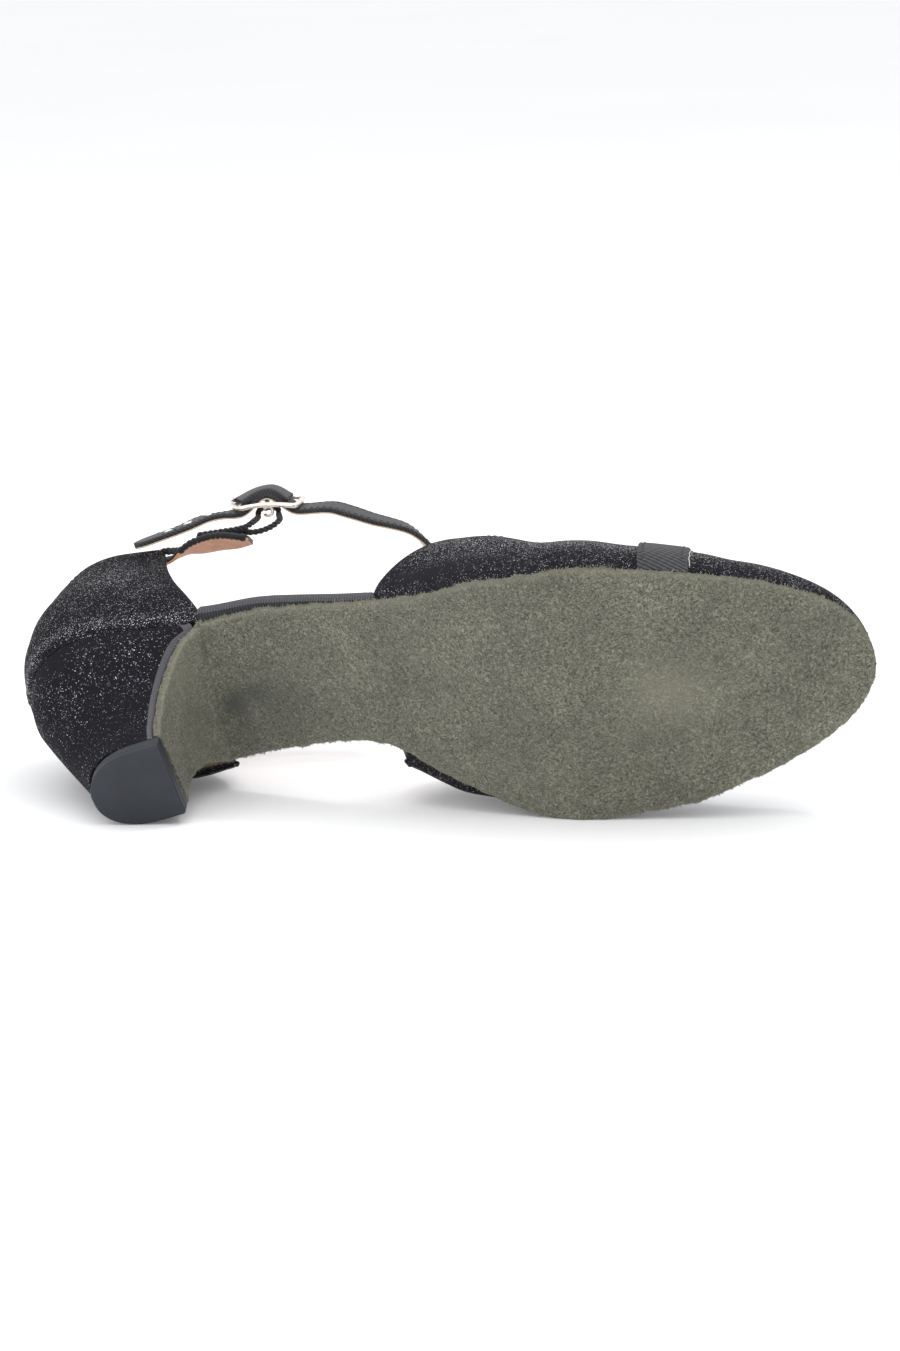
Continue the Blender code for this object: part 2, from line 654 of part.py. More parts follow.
def buckle_frame():
    """Frame on the strap's curve with two end bars, two side bars and a middle bar, in one piece."""
    bar = BUCKLE_BAR
    inner = STRAP_WIDTH / 2 + BUCKLE_SIDE_CLEARANCE
    outer = inner + bar
    half = BUCKLE_LENGTH / 2
    xs = sorted(set(spread(-half + bar, -bar / 2, 4)) | set(spread(bar / 2, half - bar, 4)) | {-half, half})
    ys = [-outer, -inner, inner, outer]
    bm = bmesh.new()
    made = {}

    def corner(i, j, top):
        if (i, j, top) not in made:
            made[i, j, top] = bm.verts.new(buckle_point(xs[i], ys[j], bar / 2 if top else -bar / 2))
        return made[i, j, top]

    def solid(i, j):
        if not (0 <= i < len(xs) - 1 and 0 <= j < 3):
            return False
        mid = (xs[i] + xs[i + 1]) / 2
        return j != 1 or abs(mid) > half - bar or abs(mid) < bar / 2

    for i in range(len(xs) - 1):
        for j in range(3):
            if not solid(i, j):
                continue
            bm.faces.new([corner(a, b, True) for a, b in ((i, j), (i + 1, j), (i + 1, j + 1), (i, j + 1))])
            bm.faces.new([corner(a, b, False) for a, b in ((i, j + 1), (i + 1, j + 1), (i + 1, j), (i, j))])
            for (di, dj), (a, b) in (((-1, 0), ((i, j), (i, j + 1))), ((1, 0), ((i + 1, j + 1), (i + 1, j))),
                                     ((0, -1), ((i + 1, j), (i, j))), ((0, 1), ((i, j + 1), (i + 1, j + 1)))):
                if not solid(i + di, j + dj):
                    bm.faces.new((corner(*a, True), corner(*b, True), corner(*b, False), corner(*a, False)))
    return add_object("buckle_frame", bm, "metal")


def tube(name, points, diameter, kind):
    """Round wire or cord along a path, with filled ends."""
    curve = bpy.data.curves.new(name, "CURVE")
    curve.dimensions = "3D"
    curve.bevel_depth = diameter / 2
    curve.bevel_resolution = 2
    curve.use_fill_caps = True
    spline = curve.splines.new("POLY")
    spline.points.add(len(points) - 1)
    for target, point in zip(spline.points, points):
        target.co = (*point, 1.0)
    curve.materials.append(material(kind))
    obj = bpy.data.objects.new(name, curve)
    bpy.context.scene.collection.objects.link(obj)
    return obj


def hook_centre():
    """Height of the hook's centre under the buckle's middle."""
    return -(BUCKLE_BAR + HOOK_WIRE) / 2 - GAP - HOOK_RADIUS


def buckle_hook():
    """Round wire hook under the buckle's middle bar, which holds the cord loop."""
    points = []
    for t in spread(0, 1, 20):
        angle = math.radians(-60 + 300 * t)
        x = -HOOK_RADIUS * math.sin(angle)
        z = hook_centre() + HOOK_RADIUS * math.cos(angle)
        y = (t - 0.5) * HOOK_WIRE * HOOK_SPREAD
        points.append(buckle_point(x, y, z))
    return tube("buckle_hook", points, HOOK_WIRE, "metal")


def tab():
    """Lined tab that runs forward from the counter's outer top edge."""
    table, places = rounded_path([strap_place(row) for row in TAB], [(row[3], row[4]) for row in TAB], 300)
    rings = []
    for stop in spread(0.0, places[-1], 26):
        point, _, outward, across = strap_frame(table, places, stop, -1)
        width = np.interp(stop, places, table[:, 4]) * TAB_WIDTH
        rings.append(ribbon_ring(point, across, outward, width, TAB_THICKNESS))
    return skin("tab", rings, "lining")


def cord_loop():
    """Twisted cord from the tab's end round the hook and back."""
    points = [strap_place(row) for row in CORD_UP]
    points += [buckle_point(a * HOOK_RADIUS, b * HOOK_RADIUS, hook_centre() + c * HOOK_RADIUS)
               for a, b, c in CORD_BIGHT]
    points += [strap_place(row) for row in CORD_DOWN]
    table, _ = rounded_path(points, [(0,)] * len(points), 60)
    return tube("cord_loop", [Vector(row[:3]) for row in table], CORD_DIAMETER, "cord")


def volume_centre(objects):
    """Centre of the volume of all pieces."""
    depsgraph = bpy.context.evaluated_depsgraph_get()
    total, moment, cloud = 0.0, Vector(), []
    for obj in objects:
        mesh = obj.evaluated_get(depsgraph).to_mesh()
        mesh.calc_loop_triangles()
        places = [v.co.copy() for v in mesh.vertices]
        cloud += places
        for tri in mesh.loop_triangles:
            a, b, c = (places[i] for i in tri.vertices)
            part = a.dot(b.cross(c)) / 6.0
            total += part
            moment += (a + b + c) / 4.0 * part
        obj.evaluated_get(depsgraph).to_mesh_clear()
    return moment / total, cloud


def resting_side(objects):
    """Outward normal of the hull's face, on the inner side of the foot, that carries the shoe."""
    centre, cloud = volume_centre(objects)
    bm = bmesh.new()
    for place in cloud:
        bm.verts.new(place)
    hull = bmesh.ops.convex_hull(bm, input=bm.verts)
    faces = [g for g in hull["geom"] if isinstance(g, bmesh.types.BMFace)]
    best = None
    for face in faces:
        face.normal_update()
        normal = face.normal.copy()
        corners = [loop.vert.co for loop in face.loops]
        if normal.dot(corners[0] - centre) < 0:
            normal.negate()
            corners.reverse()
        if normal.y < 0.7:
            continue
        margin = 1.0
        for a, b in zip(corners, corners[1:] + corners[:1]):
            inward = normal.cross(b - a).normalized()
            margin = min(margin, inward.dot(centre - a))
        if best is None or margin > best[0]:
            best = (margin, normal)
    bm.free()
    return best[1]


def lay_down(objects):
    """Turns the shoe on to its resting side, toe towards +X, and centres it on the ground."""
    down = resting_side(objects)
    toe = Vector((1, 0, 0))
    toe = (toe - down * toe.dot(down)).normalized()
    up = -down
    turn = Matrix((toe, up.cross(toe), up)).to_4x4()
    for obj in objects:
        data = obj.data
        data.transform(turn)
    bpy.context.view_layer.update()
    _, cloud = volume_centre(objects)
    low = Vector([min(p[k] for p in cloud) for k in range(3)])
    high = Vector([max(p[k] for p in cloud) for k in range(3)])
    shift = Vector((-(low.x + high.x) / 2, -(low.y + high.y) / 2, -low.z))
    for obj in objects:
        obj.data.transform(Matrix.Translation(shift))
    return Matrix.Translation(shift) @ turn


def build():
    """Makes every piece and lays the shoe down."""
    for obj in list(bpy.data.objects):
        bpy.data.objects.remove(obj, do_unlink=True)
    objects = [outsole(), insole(), vamp(), toe_band(), counter(), heel_block(), top_piece(),
               ankle_strap(), buckle_frame(), buckle_hook(), tab(), cord_loop()]
    bpy.context.view_layer.update()
    return lay_down(objects)


PLACE = build()
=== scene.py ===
"""Looks of a right ballroom dance shoe: suede sole, glitter upper, covered heel, strap and buckle.

Shapes are worked out in the standing shoe (toe +X, inner side of the foot +Y, up +Z, metres)
and laid down with PLACE. Tables hold shares of the named sizes.
"""
import math

import bmesh
import bpy
import numpy as np
from mathutils import Matrix, Vector


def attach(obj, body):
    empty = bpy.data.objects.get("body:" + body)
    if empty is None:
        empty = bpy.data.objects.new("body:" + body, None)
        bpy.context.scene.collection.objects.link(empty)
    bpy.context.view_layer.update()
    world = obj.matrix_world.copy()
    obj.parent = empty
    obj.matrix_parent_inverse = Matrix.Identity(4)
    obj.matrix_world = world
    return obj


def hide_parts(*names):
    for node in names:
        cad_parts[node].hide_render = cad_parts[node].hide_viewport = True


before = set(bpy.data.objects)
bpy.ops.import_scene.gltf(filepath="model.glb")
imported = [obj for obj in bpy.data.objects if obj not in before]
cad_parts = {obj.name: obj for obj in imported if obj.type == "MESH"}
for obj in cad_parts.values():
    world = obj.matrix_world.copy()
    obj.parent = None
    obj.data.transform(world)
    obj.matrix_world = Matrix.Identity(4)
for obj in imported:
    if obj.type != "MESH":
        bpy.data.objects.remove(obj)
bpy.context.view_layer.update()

PLACE = Matrix((
    (0.987479508, 0.151587337, -0.043653667, -0.116924599),
    (0.0, 0.276730776, 0.960947514, -0.050222844),
    (0.157747790, -0.948915839, 0.273265928, 0.008577655),
    (0.0, 0.0, 0.0, 1.0),
))

# Camera, fitted to the photograph
CAMERA_TURN = Matrix(((0.9940929, 0.0040646, 0.1084571), (0.1058039, 0.1864015, -0.97676),
                      (-0.0241867, 0.9824652, 0.1848704)))
CAMERA_AT = (0.148476, -1.272937, 0.26961)
LENS = 124.7375
LENS_SHIFT = (-0.013895, 0.009477)

# Sizes in metres, angles in radians
SHOE_LENGTH = 0.240
BALL_WIDTH = 0.074
HEEL_HEIGHT = 0.051
TOE_SPRING = 0.009
INSTEP_HEIGHT = 0.061
COUNTER_HEIGHT = 0.048
GAP = 0.0003
UPPER_WALL = 0.0016
SOLE_THICKNESS = 0.0020
INSOLE_THICKNESS = 0.0050
WAIST_PROUD = 0.0004
WAIST_PROUD_REAR = 0.0024
FEATHER_TUCK = 0.0018
FEATHER_RISE = 0.010
UPPER_SWELL = 0.0010
SWELL_RISE = 0.003
BARE_EASE = 0.0016
BARE_REAR = 0.0028
BARE_FRONT = 0.0036
INSOLE_EDGE = 0.0007
CUP_FRONT_EASE = 0.050
TOP_PIECE_THICKNESS = 0.0054
TOP_PIECE_LENGTH = 0.0231
TOP_PIECE_WIDTH = 0.0221
TOP_PIECE_FRONT = 0.0483
HEEL_SHIFT = 0.0031
HEEL_TURN = math.radians(-7.6)
BREAST_BEND = 0.0022
CORNER_EASE = 0.0012
BREAST_GAP = 0.0005
STRAP_WIDTH = 0.0094
STRAP_THICKNESS = 0.0017
BAND_WIDTH = 0.013
BAND_THICKNESS = 0.0007
BAND_PLACE = 0.1835
TAB_WIDTH = 0.0100
TAB_THICKNESS = 0.0014
BUCKLE_LENGTH = 0.0205
BUCKLE_BAR = 0.0015
BUCKLE_SIDE_CLEARANCE = 0.0006
HOOK_RADIUS = 0.00135
HOOK_WIRE = 0.0009
CORD_DIAMETER = 0.0018
CORD_PITCH = 0.0030
TOE_INWARD = 0.0044
LUG_START, LUG_END = -0.0068, 0.0082
LUG_MIDDLE = -0.0008
HOLES_FROM_TIP = 0.0105
HOLE_PITCH = 0.0062
# Steps over which directions and slopes along the strap are taken
FRAME_STEP = 0.0015
SLOPE_STEP = 0.0004
# Places as shares of the shoe's length, and powers of the rounded ends
TOE_START = 0.76
TOE_POWER = 2.12
NOSE_START = 0.90
NOSE_POWER = 2.4
HEEL_END = 0.0125
HEEL_START = 0.125
HEEL_POWER = 2.2
BUCKLE_AT = 0.298
TAB_EDGE_FROM = 0.196
# Share of the way to the inner front edge from which the cup is faced with cloth inside too
FACED_FROM = 0.75
# Reach of the strap's fall beside the buckle, as a share of the buckle's half length
WEAVE_FADE = 1.2
# Rows of stitches: pitch and thread radius
UPPER_STITCH = (0.0021, 0.00013)
BAND_STITCH = (0.0019, 0.00014)
STRAP_STITCH = (0.0019, 0.00013)
# Grid rows on which stitches run, counted from the edge
VAMP_STITCH_ROW = 14
BAND_STITCH_ROW = 4
CUP_STITCH_ROW = 8
# Grid columns: near the middle of the tread, and the heel's front with its corners
TREAD_MIDDLE = 33
HEEL_FRONT = slice(39, 52)
# Number of loose fibres on each cut edge of the sole and on the cord
SOLE_FIBRES = 2600
CORD_FIBRES = 420
# Spread of the hook's coil in wire widths
HOOK_SPREAD = 1.2
# How much smoother and darker the heel's cover is
HEEL_SHADE = 0.34
# Distances under which points are joined and edges dissolved
JOIN = 0.000003
DISSOLVE = 0.000002
# Light: glow of the floor, strength of the surroundings; lamps as name, place, target, size, power
FLOOR_GLOW = 0.07
SKY_STRENGTH = 0.95
LAMPS = (
    ("overhead", (0.0, -0.20, 1.30), (0.0, 0.0, 0.03), (2.6, 2.2), 14.0),
    ("front", (-0.35, -1.30, 0.55), (0.0, 0.0, 0.04), (1.2, 0.7), 4.0),
    ("spark", (0.35, 0.15, 0.95), (0.0, 0.0, 0.05), (0.12, 0.12), 1.3),
)

# Under side: share of length, share of heel height. Toe: share of length, share of toe spring
PROFILE = (
    (0.000, 1.000), (0.215, 0.852), (0.25, 0.818), (0.30, 0.742), (0.36, 0.612), (0.45, 0.397),
    (0.56, 0.150), (0.66, 0.000), (0.80, 0.000),
)
SPRING = ((0.80, 0.0), (0.86, 0.12), (0.93, 0.46), (1.00, 1.0))
# Outline: share of length, outer and inner half width as shares of ball width
OUTLINE = (
    (0.00, 0.288, 0.312), (0.10, 0.290, 0.318), (0.17, 0.292, 0.318), (0.23, 0.292, 0.290),
    (0.32, 0.343, 0.229), (0.42, 0.385, 0.178), (0.52, 0.440, 0.329), (0.60, 0.505, 0.445),
    (0.68, 0.522, 0.479), (0.76, 0.473, 0.478), (0.84, 0.430, 0.440), (0.92, 0.410, 0.411),
    (1.00, 0.409, 0.389),
)
# Vamp: share of length, crown height, place of the ridge, fullness of the arch
CROWN = (
    (0.44, 1.22, 0.02, 2.5), (0.53, 1.06, 0.03, 2.65), (0.59, 0.945, 0.04, 2.7),
    (0.66, 0.775, 0.05, 2.6), (0.71, 0.690, 0.05, 2.5), (0.77, 0.610, 0.04, 2.5),
    (0.82, 0.545, 0.03, 2.5), (0.88, 0.465, 0.03, 2.4), (0.94, 0.385, 0.04, 2.3),
    (1.00, 0.300, 0.05, 2.2),
)
# Swell of the vamp's inner side over the narrow waist
WAIST_SWELL = ((0.44, 0.150), (0.50, 0.130), (0.56, 0.055), (0.62, 0.000))
# Rear edge of the vamp: share of the way up, share of length on the outer and inner side
TOPLINE = (
    (0.00, 0.456, 0.448), (0.12, 0.478, 0.458), (0.28, 0.510, 0.484), (0.46, 0.546, 0.524),
    (0.66, 0.575, 0.564), (0.85, 0.592, 0.588), (1.00, 0.596, 0.596),
)
# Counter: share of its height, back line, outer and inner swell, outer and inner front edge
COUNTER = (
    (0.00, 0.000, 0.000, 0.040, 0.242, 0.240), (0.12, -0.030, 0.030, 0.080, 0.230, 0.232),
    (0.28, -0.050, 0.052, 0.092, 0.212, 0.221), (0.45, -0.048, 0.056, 0.088, 0.196, 0.205),
    (0.65, -0.026, 0.044, 0.070, 0.184, 0.192), (0.85, 0.008, 0.028, 0.040, 0.176, 0.185),
    (1.00, 0.036, 0.014, 0.012, 0.171, 0.180), (1.08, 0.050, 0.002, 0.000, 0.168, 0.178),
)
COUNTER_TOP = ((0.0, 1.03), (0.25, 1.03), (0.5, 1.01), (0.8, 1.03), (1.0, 1.045))
# Heel: share of heel height, back and front as shares of length, half width, share of shift and turn
HEEL = (
    (0.112, 0.1010, 0.1920, 0.147, 1.00), (0.24, 0.0880, 0.1890, 0.152, 0.90),
    (0.40, 0.0700, 0.1895, 0.166, 0.70), (0.58, 0.0490, 0.1950, 0.196, 0.40),
    (0.72, 0.0325, 0.2050, 0.236, 0.12), (0.79, 0.0250, 0.2150, 0.262, 0.02),
    (0.835, 0.0205, 0.2300, 0.278, 0.00),
)
# Strap: share of length, share of ball width, height share over the heel, lean in degrees
STRAP = (
    (0.105, 0.380, 0.880, 18), (0.150, 0.382, 0.885, 18), (0.200, 0.380, 0.925, 17),
    (0.270, 0.370, 1.01, 17), (0.350, 0.330, 1.09, 20), (0.420, 0.248, 1.15, 24), (0.463, 0.130, 1.19, 27),
    (0.480, -0.010, 1.19, 26), (0.463, -0.150, 1.145, 18), (0.420, -0.236, 1.120, 11),
    (0.375, -0.300, 1.165, 10), (0.330, -0.340, 1.205, 13), (0.290, -0.360, 1.205, 16),
    (0.250, -0.372, 1.140, 17), (0.222, -0.368, 1.060, 17), (0.195, -0.362, 0.985, 17),
    (0.165, -0.355, 0.940, 16), (0.140, -0.348, 0.905, 16),
)
TAB = (
    (0.130, -0.259, 0.890, 13, 0.78), (0.168, -0.265, 0.900, 14, 0.78), (0.184, -0.272, 0.903, 18, 0.82),
    (0.198, -0.291, 0.905, 30, 0.92), (0.214, -0.302, 0.903, 42, 1.05), (0.240, -0.311, 0.895, 47, 1.05),
    (0.262, -0.306, 0.880, 47, 0.85), (0.280, -0.304, 0.865, 44, 0.45),
)
CORD_UP = (
    (0.2180, -0.353, 0.895), (0.2350, -0.353, 0.892), (0.2500, -0.353, 0.889), (0.2640, -0.350, 0.895),
    (0.2760, -0.346, 0.925), (0.2835, -0.344, 0.985),
)
CORD_DOWN = (
    (0.3135, -0.324, 1.015), (0.3040, -0.318, 0.960), (0.2890, -0.318, 0.925), (0.2700, -0.322, 0.930),
    (0.2520, -0.322, 0.942), (0.2380, -0.322, 0.946),
)
CORD_BIGHT = (
    (2.35, 0.00, -0.90), (2.00, -0.90, 0.30), (0.80, -1.65, 0.50), (-0.80, -1.65, 0.50),
    (-2.00, -0.90, 0.30), (-2.35, 0.00, -0.90),
)


def curve(table, column=1):
    """A table's column as a function, on a curve that never overshoots its rows."""
    xs = np.array([row[0] for row in table])
    ys = np.array([row[column] for row in table], dtype=float)
    step = np.diff(xs)
    slope = np.diff(ys) / step
    tangent = np.zeros(len(xs))
    tangent[0], tangent[-1] = slope[0], slope[-1]
    for i in range(1, len(xs) - 1):
        if slope[i - 1] * slope[i] > 0:
            w1 = 2 * step[i] + step[i - 1]
            w2 = step[i] + 2 * step[i - 1]
            tangent[i] = (w1 + w2) / (w1 / slope[i - 1] + w2 / slope[i])
    dense = np.linspace(xs[0], xs[-1], 3001)
    k = np.clip(np.searchsorted(xs, dense, side="right") - 1, 0, len(xs) - 2)
    t = (dense - xs[k]) / step[k]
    values = ((1 + 2 * t) * (1 - t) ** 2 * ys[k] + t * (1 - t) ** 2 * step[k] * tangent[k]
              + t * t * (3 - 2 * t) * ys[k + 1] + t * t * (t - 1) * step[k] * tangent[k + 1])
    return lambda at: np.interp(at, dense, values)


OUTER_HALF, INNER_HALF = curve(OUTLINE, 1), curve(OUTLINE, 2)
SOLE_RISE, TOE_RISE = curve(PROFILE[1:]), curve(SPRING)
SWELL = curve(WAIST_SWELL)
CROWN_HEIGHT, CROWN_RIDGE, CROWN_FULL = (curve(CROWN, k) for k in (1, 2, 3))
VAMP_REAR = {-1: curve(TOPLINE, 1), 1: curve(TOPLINE, 2)}
CUP_BACK = curve(COUNTER, 1)
CUP_SWELL = {-1: curve(COUNTER, 2), 1: curve(COUNTER, 3)}
CUP_FRONT = {-1: curve(COUNTER, 4), 1: curve(COUNTER, 5)}
CUP_TOP = curve(COUNTER_TOP)
HEEL_ROWS = [(row[0] * HEEL_HEIGHT, *row[1:]) for row in HEEL]
HEEL_BACK, BREAST, HEEL_HALF, HEEL_SHARE = (curve(HEEL_ROWS, k) for k in (1, 2, 3, 4))
HEEL_TOP = HEEL[-1][0] * HEEL_HEIGHT


def taper(t, power):
    """Rounded end: 1 at t = 0, 0 at t = 1."""
    return np.maximum(0.0, 1.0 - np.clip(t, 0.0, 1.0) ** power) ** (1.0 / power)


def seat(x):
    """Height of the sole's upper side, on which upper and insole sit."""
    s = np.maximum(x, 0.0) / SHOE_LENGTH
    rear = PROFILE[0][1] + (PROFILE[1][1] - PROFILE[0][1]) * s / PROFILE[1][0]
    under = np.where(s < PROFILE[1][0], rear, SOLE_RISE(s)) * HEEL_HEIGHT
    return np.where(s > SPRING[0][0], TOE_RISE(s) * TOE_SPRING, under) + SOLE_THICKNESS


def centre_line(x):
    """The toe turns inwards."""
    t = np.maximum(0.0, x / SHOE_LENGTH - TOE_START) / (1.0 - TOE_START)
    return TOE_INWARD * t * t


def half_widths(x, inset=0.0, swell=0.0):
    """Outer and inner edge of the last at a place along the shoe, moved in by inset."""
    s = x / SHOE_LENGTH
    end = inset / SHOE_LENGTH
    toe = taper((s - TOE_START) / (1.0 - end - TOE_START), TOE_POWER)
    heel = taper((HEEL_START - s) / (HEEL_START - HEEL_END - end), HEEL_POWER)
    outer = (OUTER_HALF(s) * BALL_WIDTH - inset + swell) * toe * heel
    inner = (INNER_HALF(s) * BALL_WIDTH - inset + swell) * toe * heel
    return centre_line(x) - outer, centre_line(x) + inner


def vamp_point(x, share, side, inset):
    """Points of the vamp's arch: share 0 at the feather line, 1 at the ridge."""
    s = x / SHOE_LENGTH
    low, high = half_widths(x, inset, UPPER_SWELL)
    toe_end = (s - NOSE_START) / (1.0 - inset / SHOE_LENGTH - NOSE_START)
    height = (CROWN_HEIGHT(s) * INSTEP_HEIGHT - inset) * taper(toe_end, NOSE_POWER)
    ridge = centre_line(x) + CROWN_RIDGE(s) * BALL_WIDTH * np.minimum(1.0, (high - low) / (0.5 * BALL_WIDTH))
    power = 2.0 / CROWN_FULL(s)
    angle = share * math.pi / 2
    rise = np.sin(angle) ** power * height
    reach = np.maximum(np.cos(angle), 0.0) ** power
    edge = np.where(side < 0, low, high)
    tuck = FEATHER_TUCK * np.maximum(0.0, 1 - rise / FEATHER_RISE) ** 2
    tuck = np.minimum(tuck, 0.3 * np.abs(edge - ridge))
    swell = np.where(side > 0, SWELL(s) * BALL_WIDTH * (1 - np.exp(-rise / SWELL_RISE)), 0.0)
    return np.stack([x, ridge + (edge - ridge + swell) * reach - side * tuck, seat(x) + GAP + rise], -1)


def counter_point(along, share, side, inset):
    """Points of the heel cup: along 0 at the back line, 1 at the front edge; share is the height."""
    level = share * CUP_TOP(along)
    back = HEEL_END * SHOE_LENGTH + CUP_BACK(level) * BALL_WIDTH + inset
    front = np.where(side < 0, CUP_FRONT[-1](level), CUP_FRONT[1](level)) * SHOE_LENGTH
    x = back + (front - back) * (1 - np.cos(math.pi / 2 * along))
    swell = np.where(side < 0, CUP_SWELL[-1](level), CUP_SWELL[1](level))
    s = np.maximum(x / SHOE_LENGTH, 0.0)
    wide = (np.where(side < 0, OUTER_HALF(s), INNER_HALF(s)) + swell) * BALL_WIDTH - inset
    middle = HEEL_START * SHOE_LENGTH
    wide = side * wide * taper((middle - x) / (middle - back), HEEL_POWER)
    return np.stack([x, wide, seat(x) + GAP + level * COUNTER_HEIGHT], -1)


def turned(x, y, z, turn):
    """Points turned about the upright line through the top piece's front."""
    dx, dy = x - TOP_PIECE_FRONT, y - HEEL_SHIFT
    c, s = np.cos(turn), np.sin(turn)
    px, py = TOP_PIECE_FRONT + c * dx - s * dy, HEEL_SHIFT + s * dx + c * dy
    return np.stack([px, py, np.broadcast_to(z, px.shape)], 1)


def table_point(row):
    """A strap, tab or cord row as a point."""
    return Vector((row[0] * SHOE_LENGTH, row[1] * BALL_WIDTH, HEEL_HEIGHT + row[2] * COUNTER_HEIGHT))


def run_along(points):
    """Distance along a line of points, at each of them."""
    return np.concatenate([[0.0], np.cumsum(np.linalg.norm(np.diff(points, axis=0), axis=1))])


def rounded_path(points, extra, count):
    """Even points on a smooth curve through given points, with further columns carried along."""
    points = np.array([list(p) + list(e) for p, e in zip(points, extra)])
    gaps = np.linalg.norm(np.diff(points[:, :3], axis=0), axis=1)
    marks = np.concatenate([[0.0], np.cumsum(np.sqrt(gaps))])
    dense = []
    for i in range(len(points) - 1):
        before, after = max(i - 1, 0), min(i + 2, len(points) - 1)
        a, b = points[i], points[i + 1]
        span = marks[i + 1] - marks[i]
        ta = (b - points[before]) / (marks[i + 1] - marks[before]) * span
        tb = (points[after] - a) / (marks[after] - marks[i]) * span
        for t in np.linspace(0, 1, 25)[:-1]:
            dense.append((2 * t ** 3 - 3 * t ** 2 + 1) * a + (t ** 3 - 2 * t ** 2 + t) * ta
                         + (3 * t ** 2 - 2 * t ** 3) * b + (t ** 3 - t ** 2) * tb)
    dense = np.array(dense + [points[-1]])
    run = run_along(dense[:, :3])
    places = np.linspace(0.0, run[-1], count)
    return np.stack([np.interp(places, run, dense[:, k]) for k in range(dense.shape[1])], 1), places


def ribbon_frame(table, places, at, side=1):
    """Point, along, outward and across directions at a distance along a strap or tab."""
    def place(distance):
        return Vector([np.interp(distance, places, table[:, k]) for k in range(3)])

    along = (place(at + FRAME_STEP) - place(at - FRAME_STEP)).normalized()
    lean = math.radians(np.interp(at, places, table[:, 3]))
    level = Vector((-along.y, along.x, 0.0)).normalized() * side
    outward = level * math.cos(lean) + Vector((0, 0, 1)) * math.sin(lean)
    outward = (outward - along * outward.dot(along)).normalized()
    return place(at), along, outward, outward.cross(along).normalized()


STRAP_TABLE, STRAP_RUN = rounded_path([table_point(row) for row in STRAP], [(row[3],) for row in STRAP], 900)
BUCKLE = next(STRAP_RUN[k] for k, row in enumerate(STRAP_TABLE)
              if row[1] < 0 and row[0] <= BUCKLE_AT * SHOE_LENGTH)
STRAP_END = STRAP_RUN[-1]


def strap_frame(at):
    """Point, along, outward and across directions at a distance along the strap's course."""
    return ribbon_frame(STRAP_TABLE, STRAP_RUN, at)


def weave(distance):
    """How far the strap stands off the buckle's plane: under the end bars, over the middle bar."""
    reach = (BUCKLE_BAR + STRAP_THICKNESS) / 2 + GAP * 1.5
    t = abs(distance) / (BUCKLE_LENGTH / 2 - BUCKLE_BAR / 2)
    if t <= 1:
        return reach * math.cos(math.pi * t)
    fade = min(1.0, (t - 1) / WEAVE_FADE)
    return -reach * (1 - fade * fade * (3 - 2 * fade))


def strap_spot(stop):
    """Point on the woven strap with its along, outward and across directions."""
    point, along, outward, across = strap_frame(stop)
    place = stop - BUCKLE
    slope = (weave(place + SLOPE_STEP) - weave(place - SLOPE_STEP)) / (2 * SLOPE_STEP)
    return point + outward * weave(place), along, (outward - along * slope).normalized(), across


def buckle_point(x, y, z):
    """Point in the buckle's own frame: along the strap, across it and outwards."""
    point, _, outward, across = strap_frame(BUCKLE + x)
    return point + across * y + outward * z


HOOK_CENTRE = -(BUCKLE_BAR + HOOK_WIRE) / 2 - GAP - HOOK_RADIUS


def added(name, data):
    """New object in the scene."""
    made = bpy.data.objects.new(name, data)
    bpy.context.scene.collection.objects.link(made)
    return made


